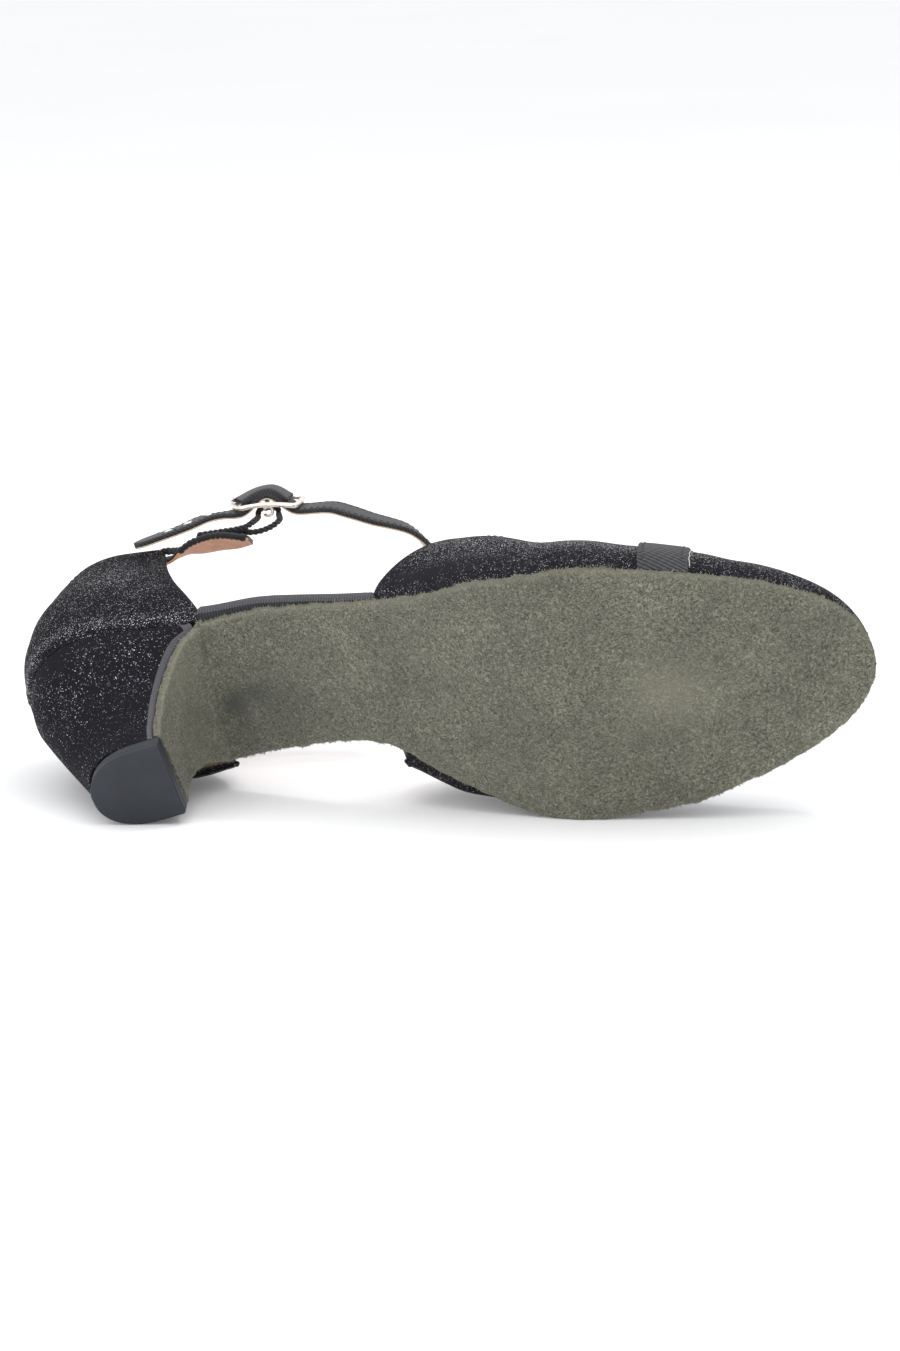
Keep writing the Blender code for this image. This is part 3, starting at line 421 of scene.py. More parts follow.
class Shape:
    """Collects grids and tubes into one mesh in the standing shoe, then lays it down."""

    def __init__(self):
        self.points, self.faces, self.uvs, self.slots, self.marks = [], [], [], [], []

    def grid(self, points, slot=0, uv=None, closed=False, mark=None):
        """Quads over a grid of points; uv in metres and mark (a shade) per point."""
        points = np.asarray(points, dtype=float)
        rows, cols = points.shape[:2]
        start = len(self.points)
        self.points += points.reshape(-1, 3).tolist()
        self.marks += (np.zeros(rows * cols) if mark is None else np.asarray(mark).reshape(-1)).tolist()
        if uv is None:
            across = np.linalg.norm(np.diff(points, axis=1), axis=2).mean(0)
            down = np.linalg.norm(np.diff(points, axis=0), axis=2).mean(1)
            u = np.concatenate([[0], np.cumsum(across), [across.sum() + across.mean()]])
            v = np.concatenate([[0], np.cumsum(down)])
        else:
            v, u = uv
        slots = np.broadcast_to(np.asarray(slot), (rows, cols))
        for r in range(rows - 1):
            for c in range(cols if closed else cols - 1):
                d = (c + 1) % cols
                self.faces.append((start + r * cols + c, start + r * cols + d,
                                   start + (r + 1) * cols + d, start + (r + 1) * cols + c))
                self.uvs += [(v[r], u[c]), (v[r], u[c + 1]), (v[r + 1], u[c + 1]), (v[r + 1], u[c])]
                self.slots.append(int(slots[r][c]))
        return start

    def face(self, *corners):
        """Single face over points made earlier."""
        self.faces.append(corners)
        self.uvs += [(0.0, 0.0)] * len(corners)
        self.slots.append(0)

    def solid(self, rings, slot=0, uv=None, mark=None):
        """Closed rings in a row, with a face over each end."""
        rings = np.asarray(rings, dtype=float)
        rows, cols = rings.shape[:2]
        start = self.grid(rings, slot, uv, True, mark)
        for ring in (start, start + (rows - 1) * cols):
            self.face(*range(ring, ring + cols))

    def wall(self, outer, inner, slot=0, uv=None, shade=None, ends=True):
        """Sheet between two grids, closed along its sides and, with ends, at its first and last row."""
        rows, half = outer.shape[:2]
        mark = None if shade is None else np.concatenate([shade, np.zeros_like(shade)], 1)
        start = self.grid(np.concatenate([outer, inner[:, ::-1]], 1), slot, uv, True, mark)
        for ring in (start, start + (rows - 1) * half * 2) if ends else ():
            for i in range(half - 1):
                far = ring + half * 2 - 1 - i
                self.face(ring + i, ring + i + 1, far - 1, far)

    def tube(self, path, radius, slot=0, sides=8, closed=False):
        """Round wire or thread along a path; radius may be one number or one for each point."""
        path = np.asarray([tuple(p) for p in path], dtype=float)
        radius = np.broadcast_to(np.asarray(radius, dtype=float), (len(path),))
        before = np.roll(path, 1, 0) if closed else np.vstack([path[:1], path[:-1]])
        after = np.roll(path, -1, 0) if closed else np.vstack([path[1:], path[-1:]])
        along = after - before
        along /= np.maximum(np.linalg.norm(along, axis=1), 1e-12)[:, None]
        guide = np.array([0.31, 0.17, 0.93])
        rings = []
        for point, run, r in zip(path, along, radius):
            guide = guide - run * guide.dot(run)
            guide /= np.linalg.norm(guide)
            other = np.cross(run, guide)
            rings.append([point + r * (math.cos(a) * guide + math.sin(a) * other)
                          for a in np.linspace(0, math.tau, sides, endpoint=False)])
        if closed:
            self.grid(rings + rings[:1], slot, closed=True)
        else:
            self.solid(rings, slot)

    def make(self, name, materials, node=None, sharp=50.0):
        """One closed, outward, smooth-shaded object that rides on the shoe's body."""
        mesh = bpy.data.meshes.new(name)
        mesh.from_pydata(self.points, [], self.faces)
        layer = mesh.uv_layers.new(name="UVMap")
        layer.data.foreach_set("uv", np.asarray(self.uvs, dtype=np.float32).reshape(-1))
        mesh.polygons.foreach_set("material_index", np.asarray(self.slots, dtype=np.int32))
        mark = mesh.attributes.new("shade", "FLOAT", "POINT")
        mark.data.foreach_set("value", np.asarray(self.marks, dtype=np.float32))
        bm = bmesh.new()
        bm.from_mesh(mesh)
        bmesh.ops.remove_doubles(bm, verts=bm.verts, dist=JOIN)
        bmesh.ops.dissolve_degenerate(bm, edges=bm.edges, dist=DISSOLVE)
        bmesh.ops.recalc_face_normals(bm, faces=bm.faces)
        if bm.calc_volume(signed=True) < 0:
            bmesh.ops.reverse_faces(bm, faces=bm.faces)
        bm.to_mesh(mesh)
        bm.free()
        mesh.transform(PLACE)
        mesh.shade_smooth()
        mesh.set_sharp_from_angle(angle=math.radians(sharp))
        for made in materials:
            mesh.materials.append(made)
        obj = added(name, mesh)
        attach(obj, "root")
        if node:
            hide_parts(node)
        return obj


class Graph:
    """Nodes of one Principled material."""

    def __init__(self, name, **values):
        self.material = bpy.data.materials.new(name)
        self.material.use_nodes = True
        self.tree = self.material.node_tree
        self.shader = self.tree.nodes["Principled BSDF"]
        self.surface(**values)

    def surface(self, **values):
        """Links or sets the shader's own inputs; gives the material."""
        for key, value in values.items():
            self.put(self.shader, key.replace("_", " "), value)
        return self.material

    def put(self, node, key, value):
        """Sets or links one input."""
        socket = node.inputs[key]
        if isinstance(value, bpy.types.NodeSocket):
            self.tree.links.new(value, socket)
        elif isinstance(value, tuple) and len(value) == 3 and socket.type == "RGBA":
            socket.default_value = (*value, 1.0)
        else:
            socket.default_value = value

    def node(self, kind, inputs=None, out=0, **settings):
        """New node with settings and inputs; gives one of its outputs, or all where out is None."""
        made = self.tree.nodes.new("ShaderNode" + kind)
        for key, value in settings.items():
            setattr(made, key, value)
        for key, value in (inputs or {}).items():
            self.put(made, key, value)
        return made.outputs if out is None else made.outputs[out]

    def place(self):
        return self.node("TexCoord", out="Object")

    def shades(self):
        """Parts of the piece's shade above and below zero, both as amounts."""
        shade = self.node("Attribute", out="Fac", attribute_name="shade")
        return self.math("MAXIMUM", shade, 0.0), self.times(self.math("MINIMUM", shade, 0.0), -1.0)

    def noise(self, scale, detail=3.0, rough=0.6, twist=0.0):
        return self.node("TexNoise", {"Vector": self.place(), "Scale": scale, "Detail": detail,
                                      "Roughness": rough, "Distortion": twist})

    def math(self, operation, *values):
        return self.node("Math", dict(enumerate(values)), operation=operation)

    def vector(self, operation, *values):
        return self.node("VectorMath", dict(enumerate(values)), operation=operation)

    def add(self, a, b):
        return self.math("ADD", a, b)

    def less(self, a, b):
        return self.math("SUBTRACT", a, b)

    def times(self, a, b):
        return self.math("MULTIPLY", a, b)

    def scaled(self, value, factor, offset):
        return self.math("MULTIPLY_ADD", value, factor, offset)

    def ramp(self, factor, *stops):
        """Colour ramp through (place, colour) stops."""
        made = self.tree.nodes.new("ShaderNodeValToRGB")
        elements = made.color_ramp.elements
        while len(elements) < len(stops):
            elements.new(0.5)
        for element, (place, colour) in zip(elements, stops):
            element.position = place
            element.color = (*colour, 1.0) if isinstance(colour, tuple) else (colour, colour, colour, 1.0)
        self.put(made, "Fac", factor)
        return made.outputs["Color"]

    def mix(self, factor, a, b, blend="MIX"):
        return self.node("Mix", {0: factor, 6: a, 7: b}, out=2, data_type="RGBA", blend_type=blend)

    def clouded(self, colour, factor, *stops):
        """Colour times a grey ramp."""
        return self.mix(1.0, colour, self.ramp(factor, *stops), "MULTIPLY")

    def bump(self, height, distance, strength=1.0):
        return self.node("Bump", {"Height": height, "Distance": distance, "Strength": strength})


def suede(name, low, middle, high):
    """Napped suede: curly nap, soft mottling, rubbed and pressed places from the shade."""
    g = Graph(name, Roughness=0.95, Sheen_Weight=0.25, Sheen_Roughness=0.5, Specular_IOR_Level=0.15)
    nap = g.noise(680.0, 5.0, 0.80, 2.5)
    grain = g.noise(1700.0, 3.0, 0.75, 1.2)
    mixed = g.add(g.times(nap, 0.68), g.times(grain, 0.32))
    colour = g.ramp(mixed, (0.415, low), (0.50, middle), (0.585, high))
    colour = g.clouded(colour, g.noise(62.0, 3.0, 0.62), (0.32, 0.80), (0.70, 1.12))
    rubbed, pressed = g.shades()
    colour = g.mix(rubbed, colour, (0.320, 0.312, 0.225))
    colour = g.mix(pressed, colour, (0.048, 0.050, 0.034))
    return g.surface(Base_Color=colour, Normal=g.bump(mixed, 0.0022))


def glitter(name, cloth=(0.0065, 0.0060, 0.0085), share=0.49, fleck=3300.0, tilt=1.1):
    """Black cloth with fine glitter: small flat flakes, each tilted its own way.

    A shade above zero is smooth dark cloth; a shade below zero is a painted highlight, a band of more and
    brighter flakes where light catches the cloth.
    """
    g = Graph(name, Specular_IOR_Level=0.10)
    cells = g.node("TexVoronoi", {"Vector": g.place(), "Scale": fleck}, out=None)
    dice, luck = g.node("SeparateXYZ", {0: cells["Color"]}, out=None)[:2]
    swing = g.vector("SUBTRACT", cells["Color"], (0.5, 0.5, 0.5))
    swing = g.node("VectorMath", {0: swing, "Scale": tilt}, operation="SCALE")
    normal = g.vector("NORMALIZE", g.vector("ADD", g.node("NewGeometry", out="Normal"), swing))
    # Painted highlight: a shade below zero adds flakes and brightens their tint, as where light catches the
    # cloth.
    quiet, painted_highlight = g.shades()
    cloud = g.times(g.less(g.noise(75.0, 3.0, 0.6), 0.5), 0.95)
    patch = g.add(g.times(g.less(g.noise(420.0, 2.0, 0.6), 0.5), 0.8), cloud)
    patch = g.add(patch, g.times(g.less(painted_highlight, quiet), 0.75))
    fleck_on = g.math("GREATER_THAN", g.add(dice, patch), 1.0 - share)
    fleck_on = g.times(fleck_on, g.math("LESS_THAN", cells["Distance"], 0.44))
    luck = g.add(luck, g.times(g.add(painted_highlight, g.times(cloud, 0.4)), 0.20))
    tint = g.ramp(luck, (0.0, (0.012, 0.011, 0.015)), (0.55, (0.050, 0.047, 0.058)),
                  (0.84, (0.26, 0.25, 0.28)), (1.0, (0.98, 0.98, 1.0)))
    base = g.mix(fleck_on, g.mix(quiet, cloth, (0.010, 0.0095, 0.0135)), tint)
    grain = g.bump(g.noise(3200.0, 2.0), 0.0003, 0.5)
    normal = g.node("Mix", {0: fleck_on, 4: grain, 5: normal}, out=1, data_type="VECTOR")
    return g.surface(Base_Color=base, Metallic=g.times(fleck_on, 0.9), Normal=normal,
                     Roughness=g.less(0.80, g.times(fleck_on, 0.48)))


def woven(name, dark, light, along, across, slant=0.0, relief=0.00035, rough=0.72):
    """Woven tape or twill: ribs along and across the piece's own length, from its UV in metres."""
    g = Graph(name, Roughness=rough, Sheen_Weight=0.15, Specular_IOR_Level=0.3)
    u, v = g.node("SeparateXYZ", {0: g.node("TexCoord", out="UV")}, out=None)[:2]
    ribs = g.math("SINE", g.add(g.times(u, along * math.tau), g.times(v, slant * math.tau)))
    rows = g.math("SINE", g.times(v, across * math.tau))
    height = g.scaled(g.times(ribs, g.scaled(rows, 0.35, 0.65)), 0.5, 0.5)
    height = g.scaled(g.noise(5200.0, 2.0), 0.35, height)
    colour = g.ramp(height, (0.15, dark), (1.05, light))
    colour = g.clouded(colour, g.noise(240.0, 3.0, 0.6), (0.3, 0.78), (0.7, 1.15))
    return g.surface(Base_Color=colour, Normal=g.bump(height, relief, 0.9))


def leather(name, low, high, grain=1500.0):
    """Thin lining leather with fine pores."""
    g = Graph(name, Specular_IOR_Level=0.35, Sheen_Weight=0.08)
    pores = g.node("TexVoronoi", {"Vector": g.place(), "Scale": grain})
    soft = g.noise(130.0, 4.0, 0.6)
    colour = g.ramp(soft, (0.3, low), (0.7, high))
    colour = g.clouded(colour, g.noise(2600.0, 3.0), (0.3, 0.88), (0.7, 1.06))
    height = g.scaled(pores, 0.4, g.noise(900.0, 3.0))
    return g.surface(Base_Color=colour, Normal=g.bump(height, 0.00025, 0.6),
                     Roughness=g.scaled(soft, 0.18, 0.53))


def rubber(name, low, high):
    """Moulded rubber: matt, faintly pitted, a little dust."""
    g = Graph(name, Specular_IOR_Level=0.4)
    fine = g.noise(1900.0, 4.0, 0.65)
    soft = g.noise(95.0, 4.0, 0.6)
    colour = g.ramp(g.scaled(fine, 0.3, g.times(soft, 0.7)), (0.3, low), (0.7, high))
    dust = g.ramp(g.noise(700.0, 2.0), (0.70, 0.0), (0.78, 0.18))
    colour = g.mix(dust, colour, (0.20, 0.21, 0.23))
    return g.surface(Base_Color=colour, Roughness=g.scaled(fine, 0.2, 0.42), Normal=g.bump(fine, 0.0002, 0.5))


def plated(name, colour, rough):
    """Plated metal with a soft polish."""
    g = Graph(name, Metallic=1.0)
    fine = g.noise(1400.0, 3.0)
    tone = g.ramp(g.noise(420.0, 3.0), (0.3, tuple(0.86 * c for c in colour)), (0.7, colour))
    return g.surface(Base_Color=tone, Roughness=g.scaled(fine, 0.14, rough - 0.05),
                     Normal=g.bump(fine, 0.00005, 0.4))


def yarn(name, low, high, rough=0.75):
    """Thread, cord or loose fibre."""
    g = Graph(name, Roughness=rough, Sheen_Weight=0.2, Specular_IOR_Level=0.25)
    fine = g.noise(4200.0, 3.0, 0.65, 0.5)
    return g.surface(Base_Color=g.ramp(fine, (0.3, low), (0.7, high)), Normal=g.bump(fine, 0.0002, 0.8))


SUEDE = suede("sole_suede", (0.034, 0.035, 0.019), (0.163, 0.161, 0.105), (0.430, 0.420, 0.315))
NAP = yarn("suede_fibre", (0.12, 0.118, 0.080), (0.36, 0.352, 0.27), 0.9)
GLITTER = glitter("glitter_cloth")
EDGE_CLOTH = glitter("folded_edge_cloth", (0.020, 0.020, 0.026), 0.16, 2900.0, 0.9)
COVER_EDGE = yarn("cover_turned_edge", (0.038, 0.037, 0.044), (0.092, 0.089, 0.100))
RIBBED = woven("ribbed_tape", (0.006, 0.006, 0.009), (0.040, 0.041, 0.052), 1150.0, 620.0)
TWILL = woven("twill_band", (0.002, 0.002, 0.003), (0.034, 0.034, 0.042), 420.0, 900.0, 620.0, 0.0005)
LUREX = woven("strap_cloth", (0.005, 0.005, 0.007), (0.036, 0.036, 0.042), 900.0, 1500.0, 900.0,
              0.00025, 0.55)
PEACH = leather("peach_lining", (0.50, 0.265, 0.165), (0.70, 0.430, 0.300))
CREAM = leather("cream_lining", (0.60, 0.46, 0.34), (0.78, 0.64, 0.50))
SOCK = leather("sock_leather", (0.58, 0.335, 0.215), (0.72, 0.460, 0.320), 1300.0)
RUBBER = rubber("top_piece_rubber", (0.012, 0.0145, 0.021), (0.021, 0.0245, 0.033))
CHAMPAGNE = plated("champagne_plate", (0.98, 0.93, 0.86), 0.38)
SILVER = plated("silver_wire", (0.90, 0.89, 0.86), 0.32)
BLACK_YARN = yarn("black_yarn", (0.004, 0.004, 0.005), (0.022, 0.022, 0.026))
PALE_THREAD = yarn("pale_thread", (0.42, 0.40, 0.36), (0.66, 0.63, 0.58))
RUST_THREAD = yarn("rust_thread", (0.16, 0.045, 0.030), (0.30, 0.10, 0.07))


def rounding(distance, radius):
    """How far a rounded edge falls back at a distance from the edge."""
    t = np.clip(1 - distance / radius, 0.0, 1.0)
    return radius * (1 - np.sqrt(1 - t * t))


def blob(x, y, place, reach):
    """Soft round patch: 1 in its middle."""
    return np.exp(-((x - place[0]) / reach[0]) ** 2 - ((y - place[1]) / reach[1]) ** 2)


def bell(x, middle, reach, power=2):
    """Soft band: 1 in its middle."""
    return np.exp(-((x - middle) / reach) ** power)


def rising(distance, reach):
    """0 at an edge, 1 from a distance on."""
    return np.clip(distance / reach, 0, 1)


def quarter(count, first=0.0):
    """Angles over a quarter turn; their sines crowd at the end, their cosines at the start."""
    return math.pi / 2 * np.linspace(first, 1, count)


def finer(start, end, count, ends):
    """Even steps between two places with closer rows at both ends."""
    inner = np.linspace(start + ends[-1], end - ends[-1], count)
    return np.concatenate([[start], [start + e for e in ends[:-1]], inner,
                           [end - e for e in reversed(ends[:-1])], [end]])


def arc_sides(arcs):
    """Side of the foot and share of the arch; arcs run from 0 at the outer to 2 at the inner feather line."""
    return np.where(arcs < 1, -1, 1), np.where(arcs < 1, arcs, 2 - arcs)


def lined(count):
    """Material slots of a double wall: 0 on its outside, 1 on its inside."""
    return np.concatenate([np.zeros(count, int), np.ones(count - 1, int), [0]])


def sole_rows():
    """Place, height, direction and width of the sole's glued face, from the toe to the heel tip."""
    corner = float(BREAST(HEEL_TOP)) * SHOE_LENGTH + BREAST_GAP
    start = corner + BREAST_BEND
    toe = SHOE_LENGTH * (TOE_START + (1 - TOE_START) * np.sin(quarter(70)[::-1]))
    main = np.concatenate([toe, np.linspace(SHOE_LENGTH * TOE_START, start, 150)[1:]])
    end_z = float(seat(corner)) - BREAST_BEND
    t = np.linspace(0, 1, 12)[1:]
    end_x = float(BREAST(end_z)) * SHOE_LENGTH + BREAST_GAP
    bend_x = (1 - t) ** 2 * start + 2 * t * (1 - t) * corner + t * t * end_x
    bend_z = (1 - t) ** 2 * float(seat(start)) + 2 * t * (1 - t) * float(seat(corner)) + t * t * end_z
    flap_z = np.linspace(end_z, TOP_PIECE_THICKNESS + GAP * 2, 42)[1:]
    xs = np.concatenate([main, bend_x, BREAST(flap_z) * SHOE_LENGTH + BREAST_GAP])
    zs = np.concatenate([seat(main), bend_z, flap_z])
    run = np.concatenate([[0], np.cumsum(np.hypot(np.diff(xs), np.diff(zs)))])
    on_flap = np.arange(len(xs)) >= len(main)
    low, high = half_widths(xs)
    rear = half_widths(start)
    level = np.minimum(zs, HEEL_TOP)
    half, share = HEEL_HALF(level) * BALL_WIDTH, HEEL_SHARE(level)
    mix = rising(run - run[len(main) - 1], 0.0060)
    low = np.where(on_flap, rear[0] + (HEEL_SHIFT * share - half - rear[0]) * mix, low)
    high = np.where(on_flap, rear[1] + (HEEL_SHIFT * share + half - rear[1]) * mix, high)
    return xs, zs, run, low, high, np.where(on_flap, HEEL_TURN * share, 0.0)


# Marks of the tread: amount (lighter above zero, darker below), place along (from the heel's tip if
# below zero) and across, reach along and across. Most are rubbed and pressed places; the fourth is a
# lighter band across the whole width where the sole turns down the heel's breast.
TREAD_MARKS = (
    (0.22, 0.054, 0.002, 0.020, 0.013), (0.34, 0.056, 0.001, 0.009, 0.008),
    (0.16, 0.105, 0.020, 0.030, 0.010), (0.35, -0.030, 0.000, 0.012, math.inf),
    (-0.85, -0.0475, 0.0035, 0.0040, 0.0042), (-0.62, -0.0555, -0.0005, 0.0065, 0.0034),
    (-0.30, -0.062, 0.009, 0.018, 0.010), (-0.16, 0.100, 0.012, 0.020, 0.010),
)


def sole():
    """Suede sole with a worn, slightly wavy cut edge and loose fibres along it."""
    xs, zs, run, low, high, turn = sole_rows()
    rng = np.random.default_rng(3)
    ripple = np.convolve(rng.normal(0, 1, len(xs) + 8), np.ones(3) / 3, "same")[4:-4] * 0.00030
    width = high - low
    edge = np.minimum(width * 0.04, 0.00016)
    low, high = low - ripple * (width > 0.01) - edge, high + ripple[::-1] * (width > 0.01) + edge
    dx, dz = np.gradient(xs), np.gradient(zs)
    size = np.hypot(dx, dz)
    under_x, under_z = -dz / size, dx / size
    shares = np.concatenate([[0, 0.004, 0.011, 0.022], np.linspace(0.04, 0.96, 62), [0.978, 0.989, 0.996, 1]])
    outline = np.concatenate([np.stack([run, low], 1), np.stack([run, high], 1)])
    shape = Shape()
    tread_rows, glued_rows, marks = [], [], []
    for i, at in enumerate(run):
        ys = low[i] + (high[i] - low[i]) * shares
        near = outline[np.abs(outline[:, 0] - at) < 0.003]
        away = np.sqrt((near[None, :, 0] - at) ** 2 + (near[None, :, 1] - ys[:, None]) ** 2).min(1)
        soft = 0.00012 * np.sin(ys * 170 + at * 61) * np.sin(at * 143 + ys * 55)
        soft += (0.00030 * blob(at, ys, (0.060, 0.004), (0.013, 0.010))
                 - 0.00018 * blob(at, ys, (0.085, -0.010), (0.012, 0.009)))
        soft *= rising(away, 0.004)
        depth = SOLE_THICKNESS - rounding(away, 0.0008) + soft * (i < len(xs) - 3)
        tread_rows.append(turned(xs[i] + under_x[i] * depth, ys, zs[i] + under_z[i] * depth, turn[i]))
        glued_rows.append(turned(xs[i], ys, zs[i], turn[i])[::-1])
        mark = 0.45 * np.clip(1 - away / 0.0016, 0, 1)
        for amount, place, middle, *reach in TREAD_MARKS:
            mark += amount * blob(at, ys, (place + run[-1] * (place < 0), middle), reach)
        marks.append(np.concatenate([mark, np.zeros(len(ys))]))
    rings = [np.concatenate([a, b]) for a, b in zip(tread_rows, glued_rows)]
    shape.solid(rings, 0, mark=np.array(marks))
    fibres(shape, tread_rows, glued_rows, rng)
    return shape.make("sole", [SUEDE, NAP], "outsole", 60)


def fibres(shape, tread_rows, glued_rows, rng):
    """Short loose fibres that stand off the sole's cut edge, along both of its sides."""
    for side in [0] * SOLE_FIBRES + [-1] * SOLE_FIBRES:
        place = rng.uniform(0, len(tread_rows) - 2)
        i, t = int(place), place % 1
        near = tread_rows[i][side] * (1 - t) + tread_rows[i + 1][side] * t
        root = near + (glued_rows[i][-1 - side] - near) * rng.uniform(0.0, 0.75)
        inward = tread_rows[i][TREAD_MIDDLE] - near
        out = -inward / (np.linalg.norm(inward) + 1e-9)
        along = tread_rows[i + 1][side] - tread_rows[i][side]
        along /= np.linalg.norm(along) + 1e-9
        heading = out + along * rng.normal(0, 0.9) + rng.normal(0, 0.35, 3)
        heading /= np.linalg.norm(heading)
        length = rng.uniform(0.00025, 0.00085)
        bend = root + heading * length * 0.55
        tip = bend + (heading + rng.normal(0, 0.6, 3)) * length * 0.5
        shape.tube([root - out * 0.0002, bend, tip], [0.00012, 0.00010, 0.00003], 1, sides=3)


def insole():
    """Insole with a ribbed tape on its bare edge, a thread along it and a leather sock on top."""
    rear, front = COUNTER[0][4] * SHOE_LENGTH, min(TOPLINE[0][1:]) * SHOE_LENGTH
    inside = UPPER_WALL + FEATHER_TUCK + GAP * 2
    heel, nose = SHOE_LENGTH * HEEL_END + inside, SHOE_LENGTH - inside
    start, toe = HEEL_START * SHOE_LENGTH, SHOE_LENGTH * TOE_START
    xs = np.concatenate([
        heel + (start - heel) * (1 - np.cos(quarter(30))),
        np.linspace(start, toe, 190)[1:],
        toe + (nose - toe) * np.sin(quarter(36))[1:]])
    bare = rising(np.minimum(xs - rear + BARE_REAR, front - xs + BARE_FRONT), BARE_EASE)
    bare = bare * bare * (3 - 2 * bare)
    low, high = half_widths(xs, inside * (1 - bare))
    low = low - bare * (WAIST_PROUD + (WAIST_PROUD_REAR - WAIST_PROUD) * (front - xs) / (front - rear))
    high = high + bare * WAIST_PROUD
    rings, bead = [], []
    thick = INSOLE_THICKNESS
    wall = np.linspace(0.0, thick - INSOLE_EDGE, 9)
    for i, x in enumerate(xs):
        width = high[i] - low[i]
        r = min(INSOLE_EDGE, width * 0.2)
        belly = 0.00018 * np.sin(wall / wall[-1] * math.pi) * bare[i]
        arc = np.radians([30, 60, 90])
        side = [(-b, w) for b, w in zip(belly, wall)]
        side += [(r * (1 - math.cos(a)), thick - r + r * math.sin(a)) for a in arc]
        top = np.linspace(0.08, 0.92, 16)
        dish = 0.0006 * np.sin(top * math.pi)
        points = [(low[i] + s, h) for s, h in side]
        points += [(low[i] + width * t, thick - d) for t, d in zip(top, dish)]
        points += [(high[i] - s, h) for s, h in reversed(side)]
        floor = float(seat(x)) + GAP
        rings.append([(x, y, floor + h) for y, h in points])
        if 0.02 < x - rear and x < front:
            bead.append((x, low[i] + 0.0003, floor + thick - 0.00018))
    shape = Shape()
    cols = len(rings[0])
    slots = np.zeros((len(xs), cols), dtype=int)
    slots[:, len(side) - 1:cols - len(side)] = 1
    slots[bare < 0.05] = 1
    run = np.concatenate([[0], np.cumsum(np.hypot(np.diff(xs), np.diff(seat(xs))))])
    across = np.concatenate([wall, wall[-1] + np.arange(1, cols - len(wall) + 2) * 0.0006])
    shape.solid(rings, slots, uv=(run, across))
    shape.tube(bead, 0.00016, 2, sides=5)
    return shape.make("insole_board", [RIBBED, SOCK, RUST_THREAD], "insole")


def grid_normals(points, row, column, way):
    """Unit normals of a grid, on the side that faces a way at one of its points."""
    normal = np.cross(np.gradient(points, axis=0), np.gradient(points, axis=1))
    if normal[row, column].dot(way) < 0:
        normal = -normal
    return normal / np.maximum(np.linalg.norm(normal, axis=-1, keepdims=True), 1e-12)


def fold(x, share, line, depth, width):
    """Soft trough (negative depth) or ridge along a line of (place, share) points."""
    best = np.full(x.shape, 1e9)
    for (xa, sa), (xb, sb) in zip(line, line[1:]):
        a, b = np.array([xa, sa * 0.05]), np.array([xb, sb * 0.05])
        px, ps = x - a[0], share * 0.05 - a[1]
        run = b - a
        t = np.clip((px * run[0] + ps * run[1]) / run.dot(run), 0, 1)
        best = np.minimum(best, np.hypot(px - t * run[0], ps - t * run[1]))
    return depth * bell(best, 0.0, width)


# Soft folds of the vamp: side of the foot, line of (place, share of the arch), depth, width
VAMP_FOLDS = (
    (-1, ((0.116, 0.10), (0.130, 0.17), (0.147, 0.13)), -0.0006, 0.0022),
    (-1, ((0.118, 0.20), (0.134, 0.28), (0.150, 0.24)), 0.0004, 0.0030),
    (-1, ((0.150, 0.92), (0.154, 0.55), (0.156, 0.35)), -0.00045, 0.0075),
    (-1, ((0.141, 0.90), (0.144, 0.60), (0.148, 0.40)), 0.0002, 0.0055),
    (-1, ((0.170, 0.35), (0.176, 0.75), (0.178, 1.0)), 0.0003, 0.0050),
    (-1, ((0.205, 0.20), (0.212, 0.60)), -0.0003, 0.0040),
    (1, ((0.118, 0.10), (0.132, 0.20), (0.150, 0.14)), -0.0006, 0.0024),
    (1, ((0.150, 0.95), (0.155, 0.60), (0.158, 0.35)), -0.0007, 0.0060),
    (1, ((0.166, 0.30), (0.172, 0.70)), 0.0003, 0.0050),
)


def vamp_grid(front, insets, along, side, share, setbacks):
    """Grid of the vamp from its rear edge to a front limit, with each row's inset and setback."""
    first = np.where(side < 0, VAMP_REAR[-1](share), VAMP_REAR[1](share)) * SHOE_LENGTH
    rows = []
    for t, setback, inset in zip(along, setbacks, insets):
        x = first + setback + (front - first - setback) * t
        rows.append(vamp_point(x, share, side, inset))
    return np.array(rows)


